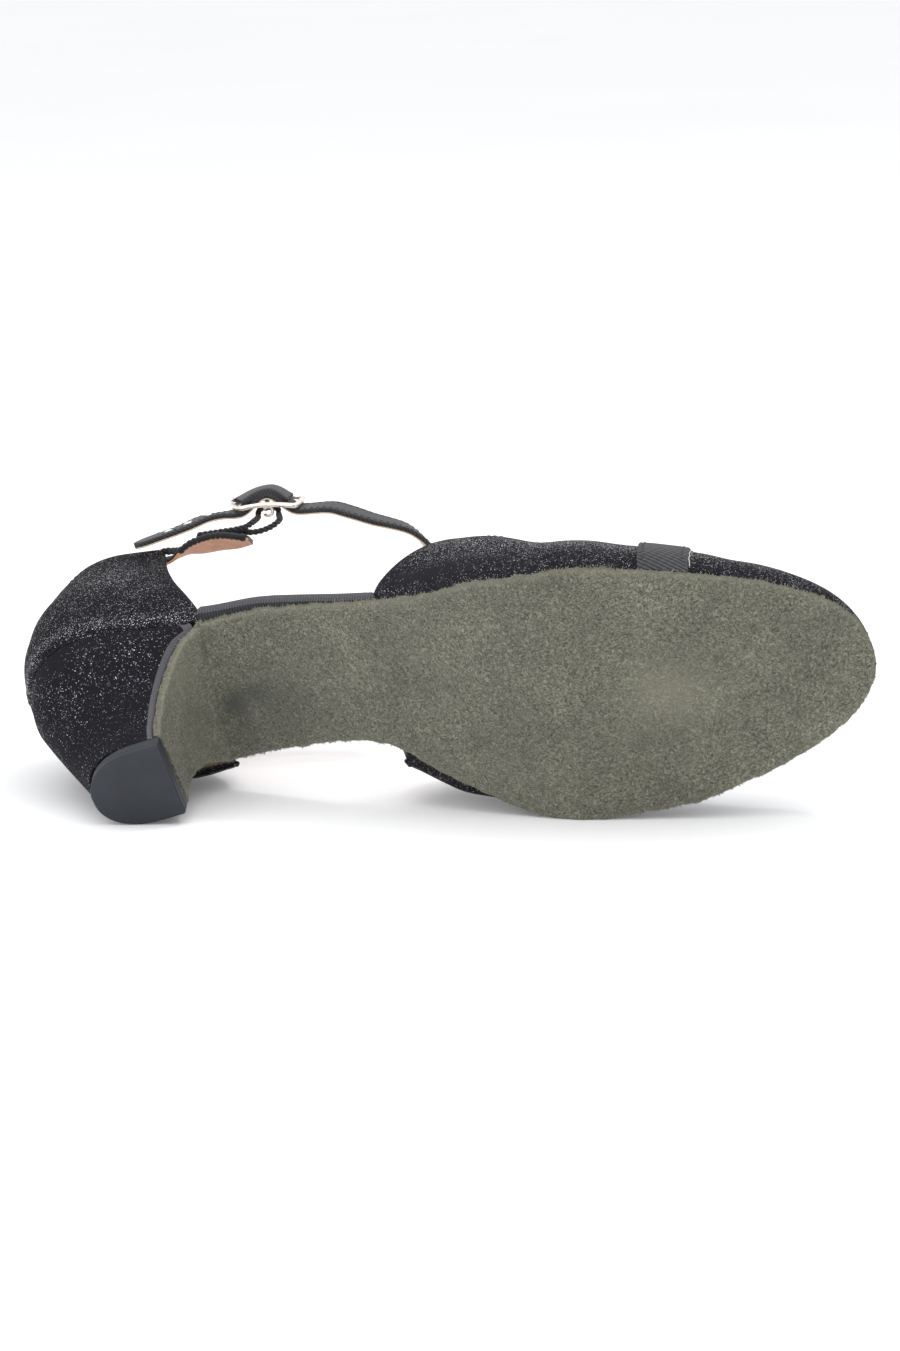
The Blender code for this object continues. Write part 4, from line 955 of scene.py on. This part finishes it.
def vamp():
    """Closed-toe vamp of glitter cloth with soft folds, leather lining and a bound rear edge."""
    arcs = np.concatenate([np.linspace(0, 0.12, 10), np.linspace(0.12, 1.88, 90)[1:],
                           np.linspace(1.88, 2, 10)[1:]])
    side, share = arc_sides(arcs)
    setbacks = np.concatenate([[0, 0.00008, 0.00025, 0.0005, 0.0008], np.full(120, 0.0008)])
    along = np.concatenate([np.zeros(5), np.sin(quarter(121)[1:])])
    ease = rounding(setbacks, UPPER_WALL / 2)
    outer = vamp_grid(SHOE_LENGTH, ease, along, side, share, setbacks)
    inner = vamp_grid(SHOE_LENGTH - UPPER_WALL, UPPER_WALL - ease, along, side, share, setbacks)
    normal = grid_normals(outer, 60, 50, (0, 0, 1))
    push = np.zeros(outer.shape[:2])
    x = outer[..., 0]
    for where, line, depth, width in VAMP_FOLDS:
        push += np.where(side == where, fold(x, np.broadcast_to(share, x.shape), line, depth, width), 0.0)
    push += 0.00010 * np.sin(x * 260 + share * 9) * np.sin(share * 23 + x * 90)
    push *= rising(x - x[0], 0.004) * rising(share, 0.05) * rising(SHOE_LENGTH - x, 0.004)
    outer = outer + normal * push[..., None]
    # Shade marks: above zero smoother, darker cloth with fewer flakes low at the rear; below zero a painted
    # highlight, a band of brighter flakes low on the outer side.
    shade = np.where(side < 0, 0.60, 0.3) * bell(share, 0.06, 0.045) * bell(x, 0.128, 0.020, 4)
    shade -= 0.62 * bell(share, 0.22, 0.10) * bell(x, 0.165, 0.055, 4) * (side < 0)
    shape = Shape()
    shape.wall(outer, inner, lined(len(arcs)), shade=shade, ends=False)
    piece = shape.make("vamp_upper", [GLITTER, PEACH], "vamp", 60)
    binding = Shape()
    rim = (outer[0] + inner[0]) / 2
    binding.tube(rim[1:-1] + normal[3, 1:-1] * 0.00022, UPPER_WALL * 0.40, 0, sides=10)
    stitches(binding, outer[VAMP_STITCH_ROW, 3:-3], normal[VAMP_STITCH_ROW, 3:-3], UPPER_STITCH, 1)
    return piece, binding.make("vamp_binding", [EDGE_CLOTH, BLACK_YARN])


def stitches(shape, path, normals, stitch, slot, gap=0.30, lift=0.0):
    """Row of sunk stitches along a path on a surface; a stitch is its pitch and its thread's radius."""
    pitch, radius = stitch
    path, normals = np.asarray(path), np.asarray(normals)
    run = run_along(path)

    def at(distance, height):
        point = np.array([np.interp(distance, run, path[:, k]) for k in range(3)])
        out = np.array([np.interp(distance, run, normals[:, k]) for k in range(3)])
        return point + out / (np.linalg.norm(out) + 1e-9) * height

    heights = (-radius * 1.5, radius * 0.35, radius * 0.5, radius * 0.35, -radius * 1.5)
    for k in range(int(run[-1] / pitch)):
        a, b = (k + gap / 2) * pitch, (k + 1 - gap / 2) * pitch
        spots = (a, a + (b - a) * 0.2, (a + b) / 2, b - (b - a) * 0.2, b)
        shape.tube([at(d, h + lift) for d, h in zip(spots, heights)], radius, slot, sides=5)


def toe_band():
    """Twill band across the vamp, with a row of stitches along each edge and a pale thread in front."""
    arcs = np.linspace(0, 2, 120)
    side, share = arc_sides(arcs)
    places = finer(BAND_PLACE, BAND_PLACE + BAND_WIDTH, 16, (0.0001, 0.0003, 0.0006))
    outer, inner = [], []
    for place in places:
        edge = min(place - places[0], places[-1] - place)
        drop = float(rounding(edge, 0.0005)) * 0.9
        rib = 0.00022 * math.exp(-((edge - 0.0011) / 0.0004) ** 2)
        x = np.full(len(arcs), place)
        outer.append(vamp_point(x, share, side, -(GAP + BAND_THICKNESS + 0.00010) + drop + rib))
        inner.append(vamp_point(x, share, side, np.full(len(arcs), -GAP * 0.4)))
    outer, inner = np.array(outer), np.array(inner)
    run = run_along(outer[8])
    shape = Shape()
    shape.wall(outer, inner, uv=(places, np.concatenate([run, run[::-1], [0]])))
    normal = grid_normals(outer, 8, 60, (0, 0, 1))
    for row in (BAND_STITCH_ROW, -1 - BAND_STITCH_ROW):
        stitches(shape, outer[row, 2:-2], normal[row, 2:-2], BAND_STITCH, 1, lift=0.00008)
    loose = vamp_point(np.full(len(arcs), places[-1] + 0.00035), share, side, -0.00025)
    shape.tube(loose[2:-2] + 0.0001 * np.sin(np.arange(len(arcs) - 4) * 1.3)[:, None], 0.00016, 2, sides=5)
    return shape.make("twill_toe_band", [TWILL, BLACK_YARN, PALE_THREAD], "toe_band")


def counter():
    """Heel cup of glitter cloth over a stiffener, lined with leather, with bound edges."""
    rear_along = np.linspace(0, 1, 70)[:-2]
    half = np.concatenate([rear_along, 1 - np.array([0.022, 0.014, 0.008, 0.004, 0.0015, 0.0])])
    alongs = np.concatenate([half[::-1], half[1:]])
    side = np.concatenate([-np.ones(len(half)), np.ones(len(half) - 1)])
    top = COUNTER_HEIGHT * COUNTER_TOP[0][1]
    shares = np.concatenate([np.linspace(0, 1 - 0.0012 / top, 44),
                             1 - np.array([0.0008, 0.0005, 0.00025, 0.00008, 0]) / top])
    along, share = np.meshgrid(alongs, shares, indexing="ij")
    sides = np.broadcast_to(side[:, None], along.shape)
    away = np.minimum((1 - share) * top, (1 - along) * CUP_FRONT_EASE)
    ease = rounding(away, UPPER_WALL / 2)
    outer = counter_point(along, share, sides, ease)
    inner = counter_point(along, share, sides, UPPER_WALL - ease)
    back = len(half) - 1
    normal = grid_normals(outer, back // 2, 20, (0, -1, 0))
    x, z = outer[..., 0], outer[..., 2]
    push = 0.00012 * np.sin(x * 210 + z * 120) * np.sin(z * 240 - x * 60)
    push += 0.00035 * bell(share, 0.055, 0.035)
    push *= rising(away, 0.004) * rising(share, 0.03)
    # Shade marks: below zero a painted highlight, a band of brighter flakes above the heel's seam, stronger
    # on the outer side, and a brighter patch halfway up towards the front; above zero smoother, darker cloth
    # along the bottom edge and at the back.
    shade = -0.62 * bell(share, 0.085 - 0.045 * along, 0.042) * np.where(sides < 0, 1.0, 0.5)
    shade -= 0.35 * blob(share, along, (0.55, 0.8), (0.22, 0.22))
    shade += 0.6 * bell(share, 0.008, 0.008) + 0.35 * blob(along, share, (0.0, 0.6), (0.35, 0.5))
    outer = outer + normal * push[..., None]
    slots = np.broadcast_to(lined(len(shares)), (len(alongs), len(shares) * 2)).copy()
    slots[(side > 0) & (alongs >= FACED_FROM)] = 0
    shape = Shape()
    shape.wall(outer, inner, slots, shade=shade)
    margin(shape, inner[:, 2], side)
    piece = shape.make("counter_upper", [GLITTER, PEACH], "counter", 60)
    binding = Shape()
    mid = (outer + inner) / 2
    rim = np.concatenate([mid[0, 1:], mid[1:-1, -1], mid[-1, ::-1][:-1]])
    binding.tube(rim, UPPER_WALL * 0.42, 0, sides=10)
    first, last = CUP_STITCH_ROW, -1 - CUP_STITCH_ROW
    path, lift = (np.concatenate([grid[first, 2:last], grid[first + 1:last, last], grid[last, 2:last][::-1]])
                  for grid in (outer, normal))
    stitches(binding, path, lift, UPPER_STITCH, 1)
    binding.tube(outer[back, 2:-2] + normal[back, 2:-2] * 0.00005, 0.0003, 0, sides=6)
    return piece, binding.make("counter_binding", [EDGE_CLOTH, BLACK_YARN])


def margin(shape, edge, side):
    """Turned-in margin of the counter's lining, between the wall and the insole."""
    inside = UPPER_WALL + FEATHER_TUCK + GAP * 2
    reach = np.maximum(edge[:, 0], SHOE_LENGTH * HEEL_END + inside + 0.0002)
    low, high = half_widths(reach, inside)
    on_insole = np.stack([reach, np.where(side < 0, low, high), seat(reach) + GAP + 0.0012], -1)
    sag = (edge + on_insole) / 2 - (0, 0, 0.0004)
    thick = np.array((0, 0, 0.0007))
    shape.solid(np.stack([edge, sag, on_insole, on_insole - thick, sag - thick, edge - thick], 1), 1)


def heel_section(z, back, front, half, share, corner=0.0006):
    """Section of the heel: straight front with small corners, rounded back; share of shift and turn."""
    centre = back + (front - back) * 0.70
    angle = quarter(34)
    xs = np.concatenate([centre - (centre - back) * np.cos(angle) ** 0.9,
                         np.linspace(centre, front - corner, 8)[1:], [front - corner * 0.3, front]])
    ys = np.concatenate([np.sin(angle) ** 0.9 * half, np.full(7, half), [half - corner * 0.3, half - corner]])
    front_line = np.linspace(half - corner, -half + corner, 8)[1:-1]
    xs = np.concatenate([xs, np.full(6, front), xs[1:][::-1]])
    ys = np.concatenate([ys, front_line, -ys[1:][::-1]])
    return turned(xs, ys + HEEL_SHIFT * share, z, HEEL_TURN * share)


def heel_block():
    """Covered heel: glitter cloth over the block, with its turned edge along the front."""
    rings = [heel_section(z, float(HEEL_BACK(z)) * SHOE_LENGTH, float(BREAST(z)) * SHOE_LENGTH,
                          float(HEEL_HALF(z)) * BALL_WIDTH, float(HEEL_SHARE(z)))
             for z in np.linspace(TOP_PIECE_THICKNESS + GAP, HEEL_TOP, 60)]
    back, centre = HEEL_END * SHOE_LENGTH, HEEL_START * SHOE_LENGTH
    front = float(BREAST(HEEL_TOP)) * SHOE_LENGTH - CORNER_EASE
    x = back + (centre - back) * (1 - np.cos(quarter(34)))
    x = np.concatenate([x, np.linspace(centre, front - 0.0006, 8)[1:], [front - 0.0002, front]])
    low, high = half_widths(x)
    low[-1], high[-1] = low[-1] * 0.97, high[-1] * 0.97
    line = np.linspace(high[-1], low[-1], 8)[1:-1]
    sx = np.concatenate([x, np.full(6, front), x[1:][::-1]])
    sy = np.concatenate([high, line, low[1:][::-1]])
    last = np.stack([sx, sy, seat(sx)], 1)
    below = rings[-1]
    for t in np.linspace(0, 1, 15)[1:]:
        ring = below + (last - below) * t
        ring[:, :2] += (ring[:, :2] - ring[:, :2].mean(0)) * 0.012 * math.sin(t * math.pi)
        rings.append(ring)
    rings = np.array(rings)
    slots = np.zeros(rings.shape[1], dtype=int)
    slots[HEEL_FRONT] = 1
    shape = Shape()
    shape.solid(rings, slots, mark=np.full(rings.shape[:2], HEEL_SHADE))
    seam = rings[-3]
    shape.tube(np.concatenate([seam[:40][::-1], seam[-40:][::-1]]), 0.00035, 0, sides=6)
    return shape.make("covered_heel", [GLITTER, COVER_EDGE], "heel_block", 50)


def top_piece():
    """Rubber tread of the heel, with eased edges and a faint moulding line."""
    back, half = TOP_PIECE_FRONT - TOP_PIECE_LENGTH, TOP_PIECE_WIDTH / 2
    top = TOP_PIECE_THICKNESS
    profile = ((0.0, 0.0009), (0.00005, 0.0005), (0.0002, 0.0002), (0.0005, 0.0), (0.0018, 0.0),
               (0.0020, 0.00012), (0.0022, 0.0), (top - 0.0004, 0.0), (top - 0.0001, 0.00015), (top, 0.0004))
    shape = Shape()
    shape.solid([heel_section(z, back + trim, TOP_PIECE_FRONT - trim, half - trim, 1.0, corner=0.0008)
                 for z, trim in profile])
    return shape.make("rubber_top_piece", [RUBBER], "top_piece", 35)


def ribbon_section(width, low, high, ease=0.00022, crown=0.0):
    """Section of a flat band between two heights, with eased edges: (across, outward) pairs."""
    w = width / 2
    e = min(ease, w * 0.4, (high - low) * 0.45)
    across = np.linspace(-w + e, w - e, 9)
    top = [(a, high + crown * (1 - (a / w) ** 2)) for a in across]
    bottom = [(a, low) for a in across[::-1]]
    return [(-w, low + e), (-w, high - e)] + top + [(w, high - e), (w, low + e)] + bottom


def strap_stops():
    """Places along the strap, closer together at the buckle and the tip."""
    near = BUCKLE_LENGTH * 0.85
    round_from = STRAP_END - STRAP_WIDTH / 2
    tip = STRAP_END - STRAP_WIDTH / 2 * (1 - np.sin(quarter(10, 0.1)))
    return np.concatenate([np.linspace(0, BUCKLE - near, 130),
                           np.linspace(BUCKLE - near, BUCKLE + near, 80)[1:],
                           np.linspace(BUCKLE + near, round_from, 24)[1:], tip])


def ribbon_ring(spot, section, shift=0.0, height=0.0):
    """Ring of a flat band's section, moved across and outwards, at a spot along it."""
    point, _, outward, across = spot
    return [point + across * (a + shift) + outward * (height + b) for a, b in section]


def strap_layer(shape, low, high, trim, slot, crown=0.0):
    """One layer of the strap between two heights over its middle."""
    rings = []
    for stop in strap_stops():
        reach = max(0.0, (stop - (STRAP_END - STRAP_WIDTH / 2)) / (STRAP_WIDTH / 2))
        width = STRAP_WIDTH * max(float(taper(reach, 2.0)), 0.3) - trim
        wave = 0.00006 * math.sin(stop * 900) + 0.00005 * math.sin(stop * 2300)
        rings.append(ribbon_ring(strap_spot(stop), ribbon_section(width, low, high, crown=crown), wave))
    shape.solid(rings, slot)


def ankle_strap():
    """Strap: black cloth outside, pale lining inside and two rows of stitches."""
    half = STRAP_THICKNESS / 2
    shape = Shape()
    strap_layer(shape, -half * 0.52, half, 0.0, 0, crown=0.00012)
    strap_layer(shape, -half, -half * 0.52, 0.0001, 1)
    spots = [strap_spot(stop) for stop in strap_stops()[2:-12]]
    for edge in (-1, 1):
        line = [p + a * edge * (STRAP_WIDTH / 2 - 0.0012) + o * (half + 0.00002) for p, _, o, a in spots]
        stitches(shape, line, [o for _, _, o, _ in spots], STRAP_STITCH, 2, gap=0.34)
    return shape.make("ankle_strap_layers", [LUREX, CREAM, BLACK_YARN], "ankle_strap")


def circle(spot, radius, height, count):
    """Points round a spot on the strap, at a height over its face."""
    point, along, outward, across = spot
    middle = point + outward * (STRAP_THICKNESS / 2 + height)
    return [middle + (along * math.cos(a) + across * math.sin(a)) * radius
            for a in np.linspace(0, math.tau, count, endpoint=False)]


def strap_holes():
    """Three metal-rimmed adjusting holes on the strap's tail."""
    shape = Shape()
    for k in range(3):
        spot = strap_spot(STRAP_END - HOLES_FROM_TIP - k * HOLE_PITCH)
        shape.tube(circle(spot, 0.00115, 0.00008, 20), 0.00022, 0, sides=6, closed=True)
        disc = ((0.0011, -0.0001), (0.0011, 0.00004), (0.0003, 0.00001))
        shape.solid([circle(spot, radius, height, 16) for radius, height in disc], 1)
    return shape.make("strap_holes", [SILVER, BLACK_YARN])


def strap_lug():
    """Short loop of strap sewn over the buckle's middle bar, with a blunt end and a frayed end."""
    shape = Shape()
    rng = np.random.default_rng(11)
    reach = (BUCKLE_BAR + STRAP_THICKNESS) / 2 + GAP * 1.5
    top = reach + STRAP_THICKNESS / 2 + 0.00025
    rings = []
    places = np.linspace(LUG_START, LUG_END, 40)
    base = BUCKLE_BAR * 0.6
    for x in places:
        t = (x - LUG_MIDDLE) / (0.0090 if x > LUG_MIDDLE else 0.0060)
        arch = math.cos(math.pi / 2 * min(1.0, abs(t))) ** 1.25
        end = 0.0011 if x > 0 else 0.0006
        height = max(end + (top + 0.0012 - base - end) * arch, weave(x) + STRAP_THICKNESS / 2 + 0.0002 - base)
        section = ribbon_section(STRAP_WIDTH - 0.0006, 0.0, height, 0.0004, 0.0002)
        rings.append(ribbon_ring(strap_frame(BUCKLE + x), section, height=base))
    shape.solid(rings, 0)
    ends = ((places[-1], 1, 46, 0.0022), (places[0], -1, 14, 0.0007))
    for at, sign, count, longest in ends:
        point, along, outward, across = strap_frame(BUCKLE + at)
        for _ in range(count):
            root = (point + across * rng.uniform(-0.0042, 0.0042)
                    + outward * (base + rng.uniform(0.0002, 0.0009)))
            heading = (along * sign + across * rng.normal(0, 0.45)
                       + outward * rng.normal(0.25, 0.35)).normalized()
            length = longest * rng.uniform(0.3, 1.0)
            swing = Vector(rng.normal(0, 0.35, 3))
            tip = root + heading * length
            shape.tube([root - along * sign * 0.0005, root + heading * length * 0.5 + swing * length * 0.15,
                        tip + swing * length * 0.4], [0.00009, 0.00007, 0.00003], 1, sides=4)
    return shape.make("strap_lug", [LUREX, BLACK_YARN])


def squarish(value):
    """Cosine or sine drawn out towards a square section."""
    return math.copysign(abs(value) ** 0.7, value)


def buckle():
    """Plated frame with rounded corners and a middle bar."""
    bar = BUCKLE_BAR
    x, y = BUCKLE_LENGTH / 2 - bar / 2, STRAP_WIDTH / 2 + BUCKLE_SIDE_CLEARANCE + bar / 2
    corner = 0.0016
    centre = []
    for cx, cy, start in ((x - corner, y - corner, 0), (-x + corner, y - corner, 90),
                          (-x + corner, -y + corner, 180), (x - corner, -y + corner, 270)):
        for a in np.radians(start + np.linspace(0, 90, 8)):
            centre.append((cx + corner * math.cos(a), cy + corner * math.sin(a)))
    path = []
    for (ax, ay), (bx, by) in zip(centre, centre[1:] + centre[:1]):
        steps = max(1, int(math.hypot(bx - ax, by - ay) / 0.0008))
        path += [(ax + (bx - ax) * k / steps, ay + (by - ay) * k / steps) for k in range(steps)]
    shape = Shape()
    rings = []
    for i, (px, py) in enumerate(path):
        (ax, ay), (bx, by) = path[i - 1], path[(i + 1) % len(path)]
        size = math.hypot(bx - ax, by - ay)
        ox, oy = (by - ay) / size, -(bx - ax) / size
        ring = []
        for a in np.linspace(0, math.tau, 16, endpoint=False):
            wide, tall = squarish(math.cos(a)) * bar * 0.5, squarish(math.sin(a)) * bar * 0.47
            ring.append(buckle_point(px + ox * wide, py + oy * wide, tall))
        rings.append(ring)
    shape.grid(rings + rings[:1], 0, closed=True)
    shape.tube([buckle_point(0, t, 0) for t in np.linspace(-y, y, 12)], bar * 0.48, 0, sides=14)
    return shape.make("buckle_plate", [CHAMPAGNE], "buckle_frame")


def hook():
    """Wire hook under the buckle, an open coil."""
    shape = Shape()
    path = []
    for t in np.linspace(0, 1, 60):
        angle = math.radians(-60 + 300 * t)
        path.append(buckle_point(-HOOK_RADIUS * math.sin(angle), (t - 0.5) * HOOK_WIRE * HOOK_SPREAD,
                                 HOOK_CENTRE + HOOK_RADIUS * math.cos(angle)))
    shape.tube(path, HOOK_WIRE / 2, 0, sides=12)
    return shape.make("wire_hook", [SILVER], "buckle_hook")


def tab():
    """Tab of the counter: peach lining facing out, cloth behind, a thick sewn edge along its top."""
    table, places = rounded_path([table_point(row) for row in TAB], [(row[3], row[4]) for row in TAB], 300)
    shape = Shape()
    half = TAB_THICKNESS / 2
    cloth, lining, top_edge = [], [], []
    lift = 1 if ribbon_frame(table, places, places[-1], -1)[3].y < 0 else -1
    for stop in np.linspace(0, places[-1], 90):
        spot = ribbon_frame(table, places, stop, -1)
        width = float(np.interp(stop, places, table[:, 4])) * TAB_WIDTH
        cloth.append(ribbon_ring(spot, ribbon_section(width - 0.0002, 0.0, half)))
        lining.append(ribbon_ring(spot, ribbon_section(width, -half, 0.0)))
        top_edge.append(spot[0] + spot[3] * lift * (width / 2 - 0.0004))
    shape.solid(cloth, 0)
    shape.solid(lining, 1)
    rng = np.random.default_rng(5)
    corner = Vector(counter_point(np.array(1.0), np.array(1.0), np.array(-1), UPPER_WALL / 2))
    kept = [p for p in top_edge if p.x > TAB_EDGE_FROM * SHOE_LENGTH]
    top_edge = [corner.lerp(kept[0], t) for t in np.linspace(0, 1, 14)[:-1]] + kept
    count = len(top_edge)
    radius = 0.00098 + 0.00014 * np.sin(np.arange(count) * 1.9) + rng.normal(0, 0.00006, count)
    shape.tube(top_edge[:-2], radius[:-2], 2, sides=9)
    return shape.make("lined_tab", [LUREX, PEACH, BLACK_YARN], "tab")


def cord():
    """Two-strand twisted cord from the tab round the hook and back, with its knot."""
    points = [table_point(row) for row in CORD_UP]
    points += [buckle_point(a * HOOK_RADIUS, b * HOOK_RADIUS, HOOK_CENTRE + c * HOOK_RADIUS)
               for a, b, c in CORD_BIGHT]
    points += [table_point(row) for row in CORD_DOWN]
    table, run = rounded_path(points, [(0,)] * len(points), 620)
    path = table[:, :3]
    along = np.gradient(path, axis=0)
    along /= np.linalg.norm(along, axis=1)[:, None]
    guide = np.array([0.2, 0.5, 0.8])
    frames = []
    for direction in along:
        guide = guide - direction * guide.dot(direction)
        guide /= np.linalg.norm(guide)
        frames.append((guide, np.cross(direction, guide)))
    shape = Shape()
    strand = CORD_DIAMETER * 0.29
    for phase in (0.0, math.pi):
        turns = run / CORD_PITCH * math.tau + phase
        spots = [p + (f[0] * math.cos(a) + f[1] * math.sin(a)) * (CORD_DIAMETER / 2 - strand)
                 for p, f, a in zip(path, frames, turns)]
        shape.tube(spots, strand, 0, sides=8)
    rng = np.random.default_rng(9)
    for _ in range(CORD_FIBRES):
        i = rng.integers(2, len(path) - 2)
        out = frames[i][0] * rng.normal() + frames[i][1] * rng.normal()
        out /= np.linalg.norm(out)
        root = path[i] + out * CORD_DIAMETER * 0.40
        tip = root + (out + rng.normal(0, 0.5, 3)) * rng.uniform(0.0001, 0.0004)
        shape.tube([root, (root + tip) / 2, tip], [0.00005, 0.00004, 0.00001], 0, sides=3)
    knot_at = table_point(CORD_DOWN[-3])
    knot = []
    for a in np.linspace(0, math.tau, 60, endpoint=False):
        r = 0.00095 + 0.00045 * math.cos(3 * a)
        knot.append(knot_at + Vector((r * math.cos(2 * a) * 1.25, 0.0009 * math.sin(3 * a) - 0.0003,
                                      r * math.sin(2 * a) * 1.05)))
    shape.tube(knot, 0.00058, 0, sides=8, closed=True)
    return shape.make("twisted_cord_loop", [BLACK_YARN], "cord_loop")


def area_light(name, at, target, size, power):
    """Soft rectangular lamp that faces a point."""
    data = bpy.data.lights.new(name, "AREA")
    data.shape = "RECTANGLE"
    data.size, data.size_y = size
    data.energy = power
    lamp = added(name, data)
    lamp.location = at
    lamp.rotation_mode = "QUATERNION"
    lamp.rotation_quaternion = (Vector(target) - Vector(at)).to_track_quat("-Z", "Y")


def stage():
    """White floor, white surroundings and soft light from above and in front."""
    mesh = bpy.data.meshes.new("floor")
    mesh.from_pydata([(-9, -9, 0), (9, -9, 0), (9, 16, 0), (-9, 16, 0)], [], [(0, 1, 2, 3)])
    g = Graph("white_floor", Roughness=0.85, Specular_IOR_Level=0.2)
    tone = g.ramp(g.noise(3.0, 2.0), (0.3, (0.93, 0.93, 0.935)), (0.7, (0.95, 0.95, 0.955)))
    mesh.materials.append(g.surface(Base_Color=tone, Emission_Color=tone, Emission_Strength=FLOOR_GLOW))
    floor = added("floor", mesh)
    floor.location.z = -0.0001
    world = bpy.data.worlds.new("surroundings")
    world.use_nodes = True
    sky = world.node_tree.nodes["Background"]
    sky.inputs["Color"].default_value = (0.98, 0.99, 1.0, 1.0)
    sky.inputs["Strength"].default_value = SKY_STRENGTH
    bpy.context.scene.world = world
    for lamp in LAMPS:
        area_light(*lamp)
    bpy.context.scene.view_settings.view_transform = "Standard"


def camera():
    """Camera fitted to the photograph."""
    data = bpy.data.cameras.new("camera")
    data.sensor_fit = "AUTO"
    data.sensor_width = 36.0
    data.lens = LENS
    data.shift_x, data.shift_y = LENS_SHIFT
    data.clip_start, data.clip_end = 0.02, 60.0
    made = added("camera", data)
    made.rotation_mode = "QUATERNION"
    made.location = CAMERA_AT
    made.rotation_quaternion = CAMERA_TURN.to_quaternion()
    bpy.context.scene.camera = made


camera()
stage()
sole()
insole()
vamp()
toe_band()
counter()
heel_block()
top_piece()
ankle_strap()
strap_holes()
strap_lug()
buckle()
hook()
tab()
cord()
